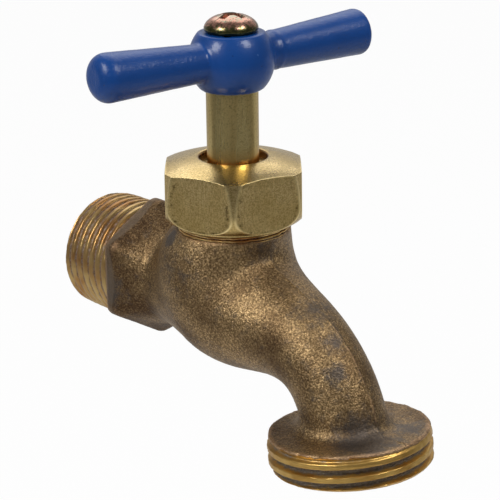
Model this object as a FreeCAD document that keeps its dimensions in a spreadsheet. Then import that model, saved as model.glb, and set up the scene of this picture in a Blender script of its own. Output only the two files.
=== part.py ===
import FreeCAD, Part
import Sketcher
import math
import os

# Driving dimensions in millimetres and degrees. Heights count from the inlet's axis,
# reaches from the stem's axis, positive towards the wall.
SIZES = {
    # Inlet end, screwed into the pipe in the wall
    "stem_reach": 34.2,
    "inlet_thread_radius": 10.6,
    "inlet_thread_length": 12.1,
    "inlet_end_chamfer": 0.3,
    "inlet_bore_radius": 6.8,
    "inlet_bore_depth": 17.2,
    "hex_plate_across": 22.0,
    "hex_plate_thickness": 2.4,
    "hex_plate_corner": 2.0,
    "hex_plate_slope": 5.6,
    "inlet_tube_radius": 8.7,
    "inlet_tube_foot": 3.0,
    # Neck that carries the packing nut
    "neck_foot": 12.4,
    "neck_radius": 9.6,
    "neck_core_radius": 8.4,
    "neck_core_depth": 3.4,
    "neck_ring_step": 0.35,
    "neck_ring_width": 1.1,
    "neck_thread_radius": 9.1,
    "neck_thread_length": 4.1,
    "neck_chamfer": 0.5,
    # Collar with the hose thread
    "collar_reach": -27.42,
    "collar_height": -15.57,
    "collar_tilt": 5.9,
    "collar_rim_radius": 13.2,
    "collar_rim_depth": 0.8,
    "collar_thread_radius": 13.49,
    "collar_depth": 5.93,
    "collar_chamfer": 0.5,
    "collar_bore_radius": 8.2,
    "collar_bore_depth": 4.0,
    "collar_fillet": 2.2,
    "spout_sink": 1.95,
    "spout_end_radius": 6.6,
    # Seat, waterways and the chamber round the seat
    "spout_wall": 2.3,
    "bore_end_radius": 5.2,
    "seat_height": 2.0,
    "seat_orifice_radius": 4.0,
    "seat_orifice_depth": 4.6,
    "seat_rim_radius": 5.2,
    "seat_rim_height": 1.0,
    "chamber_radius": 6.5,
    "chamber_height": 4.0,
    "chamber_cone": 0.6,
    "duct_start_drop": 2.0,
    "duct_slope": 10.0,
    "duct_length": 20.5,
    "duct_radius": 3.7,
    "port_reach": -5.0,
    "port_rise": 4.1,
    "port_radius": 2.9,
    "port_lean": -55.0,
    "weir_reach": -7.5,
    "weir_rise": 2.3,
    "weir_radius": 3.2,
    "weir_lean": -57.0,
    # Packing nut
    "nut_across": 22.45,
    "nut_corner": 2.0,
    "nut_foot_gap": 0.1,
    "nut_dome_radius": 32.0,
    "nut_dome_fall": 1.9,
    "nut_foot_step": 0.425,
    "nut_hole_gap": 1.35,
    "nut_lip": 1.35,
    "nut_turn": 18.3,
    # Packing pressed round the stem
    "packing_ring_height": 1.7,
    "packing_washer_height": 1.0,
    "packing_width": 2.74,
    "gland_height": 1.25,
    # Stem
    "stem_radius": 4.33,
    "stem_thread_radius": 5.9,
    "stem_thread_length": 7.0,
    "stem_rise": 11.4,
    "stem_foot_chamfer": 0.6,
    "square_across": 6.0,
    "square_length": 8.8,
    "tapped_hole_radius": 2.0,
    "tapped_hole_depth": 9.6,
    # Swivelling disc under the stem
    "washer_thickness": 1.8,
    "washer_proud": 0.6,
    "cup_wall": 0.55,
    "holder_step": 0.6,
    "holder_web": 1.0,
    "holder_pin_radius": 2.3,
    "holder_pin_length": 4.8,
    "clip_rise": 2.8,
    "clip_thickness": 0.7,
    "clip_bite": 0.4,
    "clip_stand": 0.45,
    "clip_gap": 70.0,
    "bibb_screw_radius": 1.2,
    "bibb_screw_length": 4.4,
    "bibb_head_radius": 2.3,
    "bibb_head_height": 1.1,
    "bibb_head_bevel": 0.45,
    "bibb_slot_width": 0.6,
    "bibb_slot_depth": 0.5,
    # Handle
    "handle_turn": -6.0,
    "hub_radius": 7.12,
    "hub_belly": 4.85,
    "hub_height": 9.4,
    "arm_rise": 4.9,
    "arm_root_radius": 2.9,
    "arm_tip_radius": 4.0,
    "left_arm_length": 26.2,
    "left_arm_lift": 0.8,
    "left_arm_round": 2.5,
    "right_arm_length": 26.8,
    "right_arm_lift": 2.2,
    "right_arm_round": 0.9,
    # Handle screw
    "screw_head_radius": 4.45,
    "screw_head_height": 3.1,
    "screw_head_rim": 0.5,
    "screw_length": 8.0,
    "recess_depth": 1.7,
    "recess_span": 2.1,
    "recess_width": 0.75,
    # Clearances between pieces
    "thread_gap": 0.08,
    "running_gap": 0.08,
    "push_gap": 0.05,
}

# The cast barrel between neck and collar: round sections, each with its reach, height,
# radius and lean from level
BARREL = {
    "shoulder": (2.39, 8.4, 11.43, -10.1),
    "belly": (-0.73, -0.15, 11.71, -45.3),
    "bridge": (-12.85, -2.99, 8.5, -70.0),
    "crest": (-17.74, -4.22, 7.45, -63.6),
    "drop": (-25.29, -11.79, 6.96, -23.5),
}
BORED_SECTIONS = ("bridge", "crest", "drop")
for section, values in BARREL.items():
    for quality, value in zip(("reach", "height", "radius", "lean"), values):
        SIZES[section + "_" + quality] = value

FULL_TURN = 360.0
UPRIGHT = -90.0
HALF = 0.5
HEX_SIDES = 6
# Half the angle of each arc on the round end of the plate's slope
FLAT_SPREAD = 24.0
# How far an edge may lie from the place where it is looked for
EDGE_SEARCH = 2.0
# A radius past the hexagon's corners, as a share of half its width across flats
CORNER_REACH = 1.2
PACKING_RINGS = ("packing_ring_lower", "packing_ring_upper")


class Size:
    """A size with the formula that binds it to the sheet."""

    def __init__(self, value, formula):
        self.value = value
        self.formula = formula

    def __add__(self, other):
        other = sized(other)
        return Size(self.value + other.value, "(%s + %s)" % (self.formula, other.formula))

    def __sub__(self, other):
        other = sized(other)
        return Size(self.value - other.value, "(%s - %s)" % (self.formula, other.formula))

    def __mul__(self, other):
        other = sized(other)
        return Size(self.value * other.value, "(%s * %s)" % (self.formula, other.formula))

    def __neg__(self):
        return Size(-self.value, "(-%s)" % self.formula)


def sine(angle):
    """Gives the sine of an angle in degrees."""
    return Size(math.sin(math.radians(angle.value)), "sin(%s)" % angle.formula)


def cosine(angle):
    """Gives the cosine of an angle in degrees."""
    return Size(math.cos(math.radians(angle.value)), "cos(%s)" % angle.formula)


def sized(value):
    """Returns a plain number as a size."""
    if isinstance(value, Size):
        return value
    return Size(value, "(%.9f)" % value)


class Sheet:
    """The driving dimensions, read by name."""

    def __init__(self, document):
        self.page = document.addObject("Spreadsheet::Sheet", "sizes")
        for row, (name, value) in enumerate(SIZES.items(), start=1):
            self.page.set("A%d" % row, name.replace("_", " "))
            self.page.set("B%d" % row, str(value))
            self.page.setAlias("B%d" % row, name)

    def __getattr__(self, name):
        return Size(SIZES[name], "sizes." + name)

    def add_shared_places(self):
        """Works out the heights and radii that several pieces share."""
        self.seat_floor = self.seat_height - self.seat_rim_height
        self.stem_bore = self.stem_thread_radius + self.thread_gap
        self.neck_ring_top = self.neck_foot + self.neck_ring_width
        self.neck_top = self.neck_ring_top + self.neck_thread_length
        self.nut_foot = self.neck_ring_top + self.nut_foot_gap
        self.packing_inner = self.stem_radius + self.running_gap
        self.packing_outer = self.packing_inner + self.packing_width
        self.packing_bore = self.packing_outer + self.push_gap
        self.packing_foot = self.neck_top + self.packing_washer_height
        packing_top = self.packing_foot + self.packing_ring_height * len(PACKING_RINGS)
        self.lip_foot = packing_top + self.gland_height
        self.nut_top = self.lip_foot + self.nut_lip
        self.washer_top = self.seat_height + self.washer_thickness
        self.holder_radius = self.stem_thread_radius - self.holder_step
        self.cup_radius = self.holder_radius - self.cup_wall
        self.holder_top = self.washer_top + self.holder_web
        self.stem_foot = self.holder_top + self.push_gap
        self.clip_inner = self.holder_pin_radius - self.clip_bite
        self.clip_outer = self.holder_pin_radius + self.clip_stand
        self.clip_foot = self.stem_foot + self.clip_rise
        self.clip_top = self.clip_foot + self.clip_thickness
        self.screw_hole = self.bibb_screw_radius + self.push_gap
        self.stem_shoulder = self.nut_top + self.stem_rise
        self.hub_top = self.stem_shoulder + self.hub_height


def bind(item, path, size):
    """Ties one property of an item to the sheet."""
    item.setExpression(path, sized(size).formula)


def origin_plane(body, role):
    """Returns one of a body's own origin planes."""
    for feature in body.Origin.OriginFeatures:
        if feature.Role == role:
            return feature
    raise ValueError(role)


def new_body(document, name, place):
    """Starts a sub-part whose own frame stands on the stem's axis."""
    body = document.addObject("PartDesign::Body", name)
    body.Label = name
    bind(body, "Placement.Base.y", -place.stem_reach)
    return body


def turn_body(body, angle):
    """Turns a sub-part about the stem's axis."""
    body.Placement.Rotation = FreeCAD.Rotation(FreeCAD.Vector(0, 0, 1), angle.value)
    bind(body, "Placement.Rotation.Angle", angle)


def new_sketch(body, name, role, shift=(0, 0, 0), axis=None, angle=0):
    """Attaches an empty sketch to an origin plane, shifted and turned in that plane's frame."""
    sketch = body.newObject("Sketcher::SketchObject", name)
    sketch.AttachmentSupport = [(origin_plane(body, role), "")]
    sketch.MapMode = "FlatFace"
    axis = axis or (0, 0, 1)
    angle = sized(angle)
    steps = [sized(step) for step in shift]
    sketch.AttachmentOffset = FreeCAD.Placement(
        FreeCAD.Vector(*[step.value for step in steps]),
        FreeCAD.Rotation(FreeCAD.Vector(*axis), angle.value),
    )
    for letter, step in zip("xyz", steps):
        bind(sketch, "AttachmentOffset.Base." + letter, step)
    bind(sketch, "AttachmentOffset.Rotation.Angle", angle)
    return sketch


def pin_point(sketch, edge, end, across, along):
    """Holds one end of an edge at its place in the sketch."""
    for kind, axis_line, size in (("DistanceX", -2, across), ("DistanceY", -1, along)):
        size = sized(size)
        if size.value == 0:
            sketch.addConstraint(Sketcher.Constraint("PointOnObject", edge, end, axis_line))
        else:
            index = sketch.addConstraint(
                Sketcher.Constraint(kind, -1, 1, edge, end, size.value)
            )
            bind(sketch, "Constraints[%d]" % index, size)


def add_outline(sketch, corners, arcs=None):
    """Closes an outline through the corners. An arc entry gives the radius of the edge that
    starts at that corner, positive where the arc turns left and negative where it turns right."""
    arcs = arcs or {}
    points = [
        FreeCAD.Vector(sized(across).value, sized(along).value, 0) for across, along in corners
    ]
    ends = []
    for index, start in enumerate(points):
        finish = points[(index + 1) % len(points)]
        if index not in arcs:
            sketch.addGeometry(Part.LineSegment(start, finish), False)
            ends.append((1, 2))
            continue
        radius, side = arcs[index]
        chord = finish - start
        normal = FreeCAD.Vector(-chord.y, chord.x, 0).normalize()
        rise = math.sqrt(max(radius.value ** 2 - (chord.Length / 2) ** 2, 0))
        centre = (start + finish) * HALF + normal * (side * rise)
        begin, stop = (start, finish) if side > 0 else (finish, start)
        circle = Part.Circle(centre, FreeCAD.Vector(0, 0, 1), radius.value)
        sketch.addGeometry(
            Part.ArcOfCircle(circle, circle.parameter(begin), circle.parameter(stop)), False
        )
        ends.append((1, 2) if side > 0 else (2, 1))
    for index in range(len(points)):
        after = (index + 1) % len(points)
        sketch.addConstraint(
            Sketcher.Constraint("Coincident", index, ends[index][1], after, ends[after][0])
        )
    for index, (across, along) in enumerate(corners):
        pin_point(sketch, index, ends[index][0], across, along)
    for index, (radius, side) in arcs.items():
        place = sketch.addConstraint(Sketcher.Constraint("Radius", index, radius.value))
        bind(sketch, "Constraints[%d]" % place, radius)


def add_circle(sketch, radius):
    """Draws a circle round the sketch's origin."""
    radius = sized(radius)
    centre = FreeCAD.Vector(0, 0, 0)
    edge = sketch.addGeometry(Part.Circle(centre, FreeCAD.Vector(0, 0, 1), radius.value), False)
    sketch.addConstraint(Sketcher.Constraint("Coincident", edge, 3, -1, 1))
    index = sketch.addConstraint(Sketcher.Constraint("Radius", edge, radius.value))
    bind(sketch, "Constraints[%d]" % index, radius)


def spin(body, kind, name, sketch, axis="V_Axis"):
    """Revolves a sketch a full turn, adding with Revolution and cutting with Groove."""
    feature = body.newObject("PartDesign::" + kind, name)
    feature.Profile = (sketch, [""])
    feature.ReferenceAxis = (sketch, [axis])
    feature.Angle = FULL_TURN
    return feature


def pad(body, name, sketch, length, away=False):
    """Pads a sketch by a length."""
    feature = body.newObject("PartDesign::Pad", name)
    feature.Profile = (sketch, [""])
    feature.Reversed = away
    bind(feature, "Length", length)
    return feature


def pocket(body, name, sketch, depth, away=False):
    """Cuts a sketch into the body to a depth."""
    feature = body.newObject("PartDesign::Pocket", name)
    feature.Profile = (sketch, [""])
    feature.Reversed = away
    bind(feature, "Length", depth)
    return feature


def loft(body, kind, name, sketches, ruled=False):
    """Lofts through sketches, adding with AdditiveLoft and cutting with SubtractiveLoft."""
    feature = body.newObject("PartDesign::" + kind, name)
    feature.Profile = (sketches[0], [""])
    feature.Sections = [(sketch, [""]) for sketch in sketches[1:]]
    feature.Ruled = ruled
    return feature


def round_edges(body, name, base, radius, chosen):
    """Fillets the edges of a feature that a test picks."""
    body.Document.recompute()
    names = [
        "Edge%d" % (index + 1) for index, edge in enumerate(base.Shape.Edges) if chosen(edge)
    ]
    if not names:
        raise ValueError("no edge for " + name)
    feature = body.newObject("PartDesign::Fillet", name)
    feature.Base = (base, names)
    bind(feature, "Radius", radius)
    return feature


def hexagon(across_flats, corner):
    """Gives the outline of a hexagon with rounded corners and flats at 0 degrees, as six flats
    with six arcs between them."""
    half = across_flats * HALF
    run = (half - corner) * math.tan(math.pi / HEX_SIDES)
    return ring_outline(half, run, corner, flats=True)


def ring_outline(half, run, corner, flats):
    """Repeats one flat and one corner arc six times round the origin. Without flats, the flats
    are arcs of the corner's radius too, and the outline is a circle."""
    corners = []
    arcs = {}
    for side in range(HEX_SIDES):
        turn = 2 * math.pi * side / HEX_SIDES
        for end in (-1, 1):
            step = run * end
            corners.append(
                (
                    half * math.cos(turn) - step * math.sin(turn),
                    half * math.sin(turn) + step * math.cos(turn),
                )
            )
        arcs[2 * side + 1] = (corner, 1)
        if not flats:
            arcs[2 * side] = (corner, 1)
    return corners, arcs


def section(body, name, reach, height, lean, radius):
    """Draws a round section across the barrel's mid-plane."""
    sketch = new_sketch(
        body, name, "XY_Plane", shift=(0, reach, height), axis=(1, 0, 0), angle=lean
    )
    add_circle(sketch, radius)
    return sketch


def barrel_section(body, prefix, name, sheet, wall=0):
    """Draws one of the barrel's named sections, or the bore inside it when it has a wall."""
    reach, height, radius, lean = [
        getattr(sheet, name + "_" + quality) for quality in ("reach", "height", "radius", "lean")
    ]
    return section(body, prefix + name, reach, height, lean, radius - wall)


def spout_end(body, name, sheet, radius):
    """Draws the spout's last section, sunk below the flange on the collar's leaning axis."""
    tilt = sheet.collar_tilt
    return section(
        body, name,
        sheet.collar_reach - sheet.spout_sink * sine(tilt),
        sheet.collar_height - sheet.spout_sink * cosine(tilt),
        -tilt,
        radius,
    )


def make_valve_body(document, sheet):
    """Cast bronze body: inlet, globe, neck, spout and hose collar in one piece, with the seat
    and waterways inside."""
    body = new_body(document, "valve_body", sheet)

    neck_section = section(
        body, "neck_section", 0, sheet.neck_foot, 0, sheet.neck_radius
    )
    end_sections = [neck_section]
    end_sections += [barrel_section(body, "outer_", name, sheet) for name in BARREL]
    end_sections.append(spout_end(body, "outer_end", sheet, sheet.spout_end_radius))
    loft(body, "AdditiveLoft", "barrel", end_sections)

    add_inlet(body, sheet)
    add_neck(body, sheet)
    add_collar(body, sheet)
    round_spout_foot(body, sheet)
    cut_waterways(body, sheet)
    return body


def add_inlet(body, sheet):
    """Adds the threaded end, the tube behind it and the six-sided plate for the wrench."""
    plate_back = sheet.stem_reach - sheet.inlet_thread_length
    plate_front = plate_back - sheet.hex_plate_thickness
    sketch = new_sketch(body, "inlet_profile", "YZ_Plane")
    end = sheet.stem_reach
    radius = sheet.inlet_thread_radius
    add_outline(sketch, [
        (sheet.inlet_tube_foot, 0),
        (end, 0),
        (end, radius - sheet.inlet_end_chamfer),
        (end - sheet.inlet_end_chamfer, radius),
        (plate_back - sheet.hex_plate_thickness * HALF, radius),
        (plate_back - sheet.hex_plate_thickness * HALF, sheet.inlet_tube_radius),
        (sheet.inlet_tube_foot, sheet.inlet_tube_radius),
    ])
    spin(body, "Revolution", "inlet", sketch, "H_Axis")

    corners, arcs = hexagon(sheet.hex_plate_across, sheet.hex_plate_corner)
    plate_sketch = new_sketch(body, "plate_outline", "XZ_Plane", shift=(0, 0, -plate_back))
    add_outline(plate_sketch, corners, arcs)
    pad(body, "plate", plate_sketch, sheet.hex_plate_thickness)

    slope_start = new_sketch(body, "slope_start", "XZ_Plane", shift=(0, 0, -plate_front))
    add_outline(slope_start, corners, arcs)
    slope_end = new_sketch(
        body, "slope_end", "XZ_Plane", shift=(0, 0, sheet.hex_plate_slope - plate_front)
    )
    spread = math.radians(FLAT_SPREAD)
    round_corners, round_arcs = ring_outline(
        sheet.inlet_tube_radius * math.cos(spread),
        sheet.inlet_tube_radius * math.sin(spread),
        sheet.inlet_tube_radius,
        flats=False,
    )
    add_outline(slope_end, round_corners, round_arcs)
    loft(body, "AdditiveLoft", "plate_slope", [slope_start, slope_end], ruled=True)


def add_neck(body, sheet):
    """Adds the machined ring and the threaded neck for the packing nut."""
    core_foot = sheet.neck_foot - sheet.neck_core_depth
    ring_radius = sheet.neck_thread_radius + sheet.neck_ring_step
    sketch = new_sketch(body, "neck_profile", "YZ_Plane")
    add_outline(sketch, [
        (0, core_foot),
        (sheet.neck_core_radius, core_foot),
        (sheet.neck_core_radius, sheet.neck_foot),
        (ring_radius, sheet.neck_foot),
        (ring_radius, sheet.neck_ring_top),
        (sheet.neck_thread_radius, sheet.neck_ring_top),
        (sheet.neck_thread_radius, sheet.neck_top - sheet.neck_chamfer),
        (sheet.neck_thread_radius - sheet.neck_chamfer, sheet.neck_top),
        (0, sheet.neck_top),
    ])
    spin(body, "Revolution", "neck", sketch)


def collar_sketch(body, name, sheet):
    """Starts a sketch in the mid-plane, upright on the collar's leaning axis."""
    return new_sketch(
        body, name, "YZ_Plane",
        shift=(sheet.collar_reach, sheet.collar_height, 0),
        angle=-sheet.collar_tilt,
    )


def add_collar(body, sheet):
    """Adds the flange and the threaded collar for the hose."""
    sketch = collar_sketch(body, "collar_profile", sheet)
    add_outline(sketch, [
        (0, 0),
        (0, -sheet.collar_depth),
        (sheet.collar_thread_radius - sheet.collar_chamfer, -sheet.collar_depth),
        (sheet.collar_thread_radius, sheet.collar_chamfer - sheet.collar_depth),
        (sheet.collar_thread_radius, -sheet.collar_rim_depth),
        (sheet.collar_rim_radius, 0),
    ])
    spin(body, "Revolution", "collar", sketch)


def round_spout_foot(body, sheet):
    """Rounds the spout's foot on the flange."""
    foot = FreeCAD.Vector(0, sheet.collar_reach.value, sheet.collar_height.value)
    foot_width = 2 * (sheet.spout_end_radius.value + EDGE_SEARCH)

    def at_spout_foot(edge):
        box = edge.BoundBox
        return box.Center.distanceToPoint(foot) < EDGE_SEARCH and box.XLength < foot_width

    round_edges(body, "foot_fillet", body.Tip, sheet.collar_fillet, at_spout_foot)


def cut_waterways(body, sheet):
    """Cuts the inlet bore, the duct under the seat, the seat's chamber with the stem's bore, and
    the spout's bore."""
    cut_chamber(body, sheet)

    inlet_circle = new_sketch(body, "inlet_circle", "XZ_Plane", shift=(0, 0, -sheet.stem_reach))
    add_circle(inlet_circle, sheet.inlet_bore_radius)
    pocket(body, "inlet_bore", inlet_circle, sheet.inlet_bore_depth, away=True)

    duct_start = section(
        body, "duct_start", sheet.stem_reach - sheet.inlet_bore_depth, -sheet.duct_start_drop,
        sheet.duct_slope + UPRIGHT, sheet.duct_radius,
    )
    pocket(body, "duct", duct_start, sheet.duct_length)

    bore_sections = [
        section(
            body, "port", sheet.port_reach, sheet.seat_floor + sheet.port_rise, sheet.port_lean,
            sheet.port_radius,
        ),
        section(
            body, "weir", sheet.weir_reach, sheet.seat_floor + sheet.weir_rise, sheet.weir_lean,
            sheet.weir_radius,
        ),
    ]
    bore_sections += [
        barrel_section(body, "bore_", name, sheet, sheet.spout_wall) for name in BORED_SECTIONS
    ]
    bore_sections.append(spout_end(body, "bore_end", sheet, sheet.bore_end_radius))
    loft(body, "SubtractiveLoft", "spout_bore", bore_sections)

    mouth = collar_sketch(body, "mouth_profile", sheet)
    add_outline(mouth, [
        (0, 0),
        (0, -sheet.collar_depth),
        (sheet.collar_bore_radius, -sheet.collar_depth),
        (sheet.collar_bore_radius, sheet.collar_bore_depth - sheet.collar_depth),
        (sheet.bore_end_radius, 0),
    ])
    spin(body, "Groove", "mouth", mouth)


def cut_chamber(body, sheet):
    """Cuts the seat's hole, the chamber round its rim and the bore for the stem's thread."""
    floor = sheet.seat_floor
    orifice_foot = floor - sheet.seat_orifice_depth
    chamber_top = floor + sheet.chamber_height
    sketch = new_sketch(body, "chamber_profile", "YZ_Plane")
    add_outline(sketch, [
        (0, orifice_foot),
        (sheet.seat_orifice_radius, orifice_foot),
        (sheet.seat_orifice_radius, sheet.seat_height),
        (sheet.seat_rim_radius, sheet.seat_height),
        (sheet.seat_rim_radius, floor),
        (sheet.chamber_radius, floor),
        (sheet.chamber_radius, chamber_top),
        (sheet.stem_bore, chamber_top + sheet.chamber_cone),
        (sheet.stem_bore, sheet.neck_top),
        (0, sheet.neck_top),
    ])
    spin(body, "Groove", "chamber", sketch)


def make_packing_nut(document, sheet):
    """Hexagonal nut with a domed top, turned chamfers at its foot and a lip round the stem."""
    body = new_body(document, "packing_nut", sheet)
    turn_body(body, sheet.nut_turn)
    corners, arcs = hexagon(sheet.nut_across, sheet.nut_corner)
    outline = new_sketch(body, "nut_outline", "XY_Plane", shift=(0, 0, sheet.nut_foot))
    add_outline(outline, corners, arcs)
    pad(body, "hexagon", outline, sheet.nut_top - sheet.nut_foot)

    half = sheet.nut_across * HALF
    outside = half * CORNER_REACH
    hole = sheet.stem_radius + sheet.nut_hole_gap
    dome_sketch = new_sketch(body, "dome_profile", "YZ_Plane")
    dome_fall = sheet.nut_top - sheet.nut_dome_fall
    add_outline(dome_sketch, [
        (hole, sheet.nut_top),
        (outside, dome_fall),
        (outside, sheet.nut_top + sheet.nut_dome_fall),
        (hole, sheet.nut_top + sheet.nut_dome_fall),
    ], {0: (sheet.nut_dome_radius, -1)})
    spin(body, "Groove", "dome", dome_sketch)

    foot_sketch = new_sketch(body, "foot_profile", "YZ_Plane")
    foot_radius = half - sheet.nut_foot_step
    add_outline(foot_sketch, [
        (foot_radius, sheet.nut_foot),
        (outside, sheet.nut_foot),
        (outside, sheet.nut_foot + outside - foot_radius),
    ])
    spin(body, "Groove", "foot_chamfer", foot_sketch)

    chamber_foot = sheet.neck_top + sheet.push_gap
    thread_radius = sheet.neck_thread_radius + sheet.thread_gap
    bore_sketch = new_sketch(body, "bore_profile", "YZ_Plane")
    add_outline(bore_sketch, [
        (0, sheet.nut_foot),
        (thread_radius, sheet.nut_foot),
        (thread_radius, chamber_foot),
        (sheet.packing_bore, chamber_foot),
        (sheet.packing_bore, sheet.lip_foot),
        (hole, sheet.lip_foot),
        (hole, sheet.nut_top),
        (0, sheet.nut_top),
    ])
    spin(body, "Groove", "bore", bore_sketch)
    return body


def make_ring(document, name, sheet, foot, top, inner, outer):
    """Plain round ring about the stem's axis."""
    body = new_body(document, name, sheet)
    sketch = new_sketch(body, name + "_profile", "YZ_Plane")
    add_outline(sketch, [(inner, foot), (outer, foot), (outer, top), (inner, top)])
    spin(body, "Revolution", name + "_turned", sketch)
    return body


def make_packing(document, sheet):
    """Support washer, two packing rings and the gland, stacked on the neck inside the nut."""
    inner = sheet.packing_inner
    outer = sheet.packing_outer
    rings = [make_ring(
        document, "packing_washer", sheet, sheet.neck_top, sheet.packing_foot, inner, outer
    )]
    foot = sheet.packing_foot
    for name in PACKING_RINGS:
        top = foot + sheet.packing_ring_height
        rings.append(make_ring(document, name, sheet, foot, top, inner, outer))
        foot = top
    rings.append(make_ring(document, "gland", sheet, foot, sheet.lip_foot, inner, outer))
    return rings


def clip_groove(sheet):
    """Gives the lower and upper heights of the grooves that hold the swivel clip."""
    return sheet.clip_foot - sheet.push_gap, sheet.clip_top + sheet.push_gap


def make_stem(document, sheet):
    """Brass stem: foot with the swivel's socket, threaded part, round rod and square end with a
    tapped hole."""
    body = new_body(document, "stem", sheet)
    turn_body(body, sheet.handle_turn)
    foot = sheet.stem_foot
    thread_top = foot + sheet.stem_thread_length
    chamfer = sheet.stem_foot_chamfer
    thread = sheet.stem_thread_radius
    sketch = new_sketch(body, "stem_profile", "YZ_Plane")
    add_outline(sketch, [
        (0, foot),
        (thread - chamfer, foot),
        (thread, foot + chamfer),
        (thread, thread_top - chamfer),
        (thread - chamfer, thread_top),
        (sheet.stem_radius, thread_top),
        (sheet.stem_radius, sheet.stem_shoulder),
        (0, sheet.stem_shoulder),
    ])
    spin(body, "Revolution", "rod", sketch)

    half = sheet.square_across * HALF
    square = new_sketch(body, "square_outline", "XY_Plane", shift=(0, 0, sheet.stem_shoulder))
    add_outline(square, [(-half, -half), (half, -half), (half, half), (-half, half)])
    pad(body, "square", square, sheet.square_length)

    square_top = sheet.stem_shoulder + sheet.square_length
    hole = new_sketch(body, "tapped_circle", "XY_Plane", shift=(0, 0, square_top))
    add_circle(hole, sheet.tapped_hole_radius)
    pocket(body, "tapped_hole", hole, sheet.tapped_hole_depth)

    pin_bore = sheet.holder_pin_radius + sheet.running_gap
    clip_bore = sheet.clip_outer + sheet.running_gap
    groove_foot, groove_top = clip_groove(sheet)
    socket_top = foot + sheet.holder_pin_length + sheet.push_gap
    socket = new_sketch(body, "socket_profile", "YZ_Plane")
    add_outline(socket, [
        (0, foot),
        (pin_bore, foot),
        (pin_bore, groove_foot),
        (clip_bore, groove_foot),
        (clip_bore, groove_top),
        (pin_bore, groove_top),
        (pin_bore, socket_top),
        (0, socket_top),
    ])
    spin(body, "Groove", "socket", socket)
    return body


def make_disc_holder(document, sheet):
    """Brass disc that carries the seat washer in a shallow cup and swivels on a pin in the
    stem."""
    body = new_body(document, "disc_holder", sheet)
    cup_foot = sheet.seat_height + sheet.washer_proud
    pin_top = sheet.stem_foot + sheet.holder_pin_length
    groove = sheet.clip_inner - sheet.push_gap
    groove_foot, groove_top = clip_groove(sheet)
    screw_top = sheet.seat_height + sheet.bibb_screw_length + sheet.push_gap
    sketch = new_sketch(body, "holder_profile", "YZ_Plane")
    add_outline(sketch, [
        (sheet.screw_hole, sheet.washer_top),
        (sheet.cup_radius, sheet.washer_top),
        (sheet.cup_radius, cup_foot),
        (sheet.holder_radius, cup_foot),
        (sheet.holder_radius, sheet.holder_top),
        (sheet.holder_pin_radius, sheet.holder_top),
        (sheet.holder_pin_radius, groove_foot),
        (groove, groove_foot),
        (groove, groove_top),
        (sheet.holder_pin_radius, groove_top),
        (sheet.holder_pin_radius, pin_top),
        (0, pin_top),
        (0, screw_top),
        (sheet.screw_hole, screw_top),
    ])
    spin(body, "Revolution", "holder_turned", sketch)
    return body


def make_swivel_clip(document, sheet):
    """Split wire ring that snaps into the grooves of the pin and the stem's socket."""
    body = new_body(document, "swivel_clip", sheet)
    sketch = new_sketch(body, "clip_profile", "YZ_Plane")
    add_outline(sketch, [
        (sheet.clip_inner, sheet.clip_foot),
        (sheet.clip_outer, sheet.clip_foot),
        (sheet.clip_outer, sheet.clip_top),
        (sheet.clip_inner, sheet.clip_top),
    ])
    ring = spin(body, "Revolution", "clip_turned", sketch)
    bind(ring, "Angle", sized(FULL_TURN) - sheet.clip_gap)
    return body


def make_bibb_screw(document, sheet):
    """Slotted brass screw that holds the seat washer in its cup."""
    body = new_body(document, "bibb_screw", sheet)
    head_foot = sheet.seat_height - sheet.bibb_head_height
    bevel = sheet.bibb_head_bevel
    sketch = new_sketch(body, "bibb_profile", "YZ_Plane")
    add_outline(sketch, [
        (0, head_foot),
        (sheet.bibb_head_radius - bevel, head_foot),
        (sheet.bibb_head_radius, head_foot + bevel),
        (sheet.bibb_head_radius, sheet.seat_height),
        (sheet.bibb_screw_radius, sheet.seat_height),
        (sheet.bibb_screw_radius, sheet.seat_height + sheet.bibb_screw_length),
        (0, sheet.seat_height + sheet.bibb_screw_length),
    ])
    spin(body, "Revolution", "bibb_turned", sketch)
    slot = new_sketch(body, "slot_outline", "XY_Plane", shift=(0, 0, head_foot))
    half = sheet.bibb_slot_width * HALF
    run = sheet.bibb_head_radius + sheet.bibb_slot_width
    add_outline(slot, [(-run, -half), (run, -half), (run, half), (-run, half)])
    pocket(body, "slot", slot, sheet.bibb_slot_depth, away=True)
    return body


def make_handle(document, sheet):
    """Tee handle: round hub with flats above and below, two arms that swell towards rounded
    ends, and a square socket."""
    body = new_body(document, "handle", sheet)
    turn_body(body, sheet.handle_turn)
    low = sheet.hub_belly
    high = sheet.hub_height - sheet.hub_belly
    hub_sketch = new_sketch(body, "hub_profile", "XZ_Plane")
    add_outline(hub_sketch, [
        (0, sheet.stem_shoulder),
        (root_of(sheet.hub_radius, low), sheet.stem_shoulder),
        (root_of(sheet.hub_radius, high), sheet.hub_top),
        (0, sheet.hub_top),
    ], {1: (sheet.hub_radius, 1)})
    spin(body, "Revolution", "hub", hub_sketch)

    left_angle = sized(HALF * FULL_TURN) - sheet.left_arm_lift
    add_arm(body, "left_arm", sheet, sheet.left_arm_length, left_angle, sheet.left_arm_round)
    add_arm(
        body, "right_arm", sheet, sheet.right_arm_length, sheet.right_arm_lift,
        sheet.right_arm_round,
    )

    half = sheet.square_across * HALF + sheet.push_gap
    socket = new_sketch(body, "socket_outline", "XY_Plane", shift=(0, 0, sheet.hub_top))
    add_outline(socket, [(-half, -half), (half, -half), (half, half), (-half, half)])
    pocket(body, "socket", socket, sheet.hub_height)
    return body


def add_arm(body, name, sheet, length, angle, bend):
    """Adds one arm of the handle, which swells towards its rounded end."""
    height = sheet.stem_shoulder + sheet.arm_rise
    tip = sheet.arm_tip_radius
    sketch = new_sketch(body, name + "_profile", "XZ_Plane", shift=(0, height, 0), angle=angle)
    add_outline(sketch, [
        (0, 0),
        (length, 0),
        (length, tip - bend),
        (length - bend, tip),
        (0, sheet.arm_root_radius),
    ], {2: (bend, 1)})
    spin(body, "Revolution", name, sketch, "H_Axis")


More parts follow.
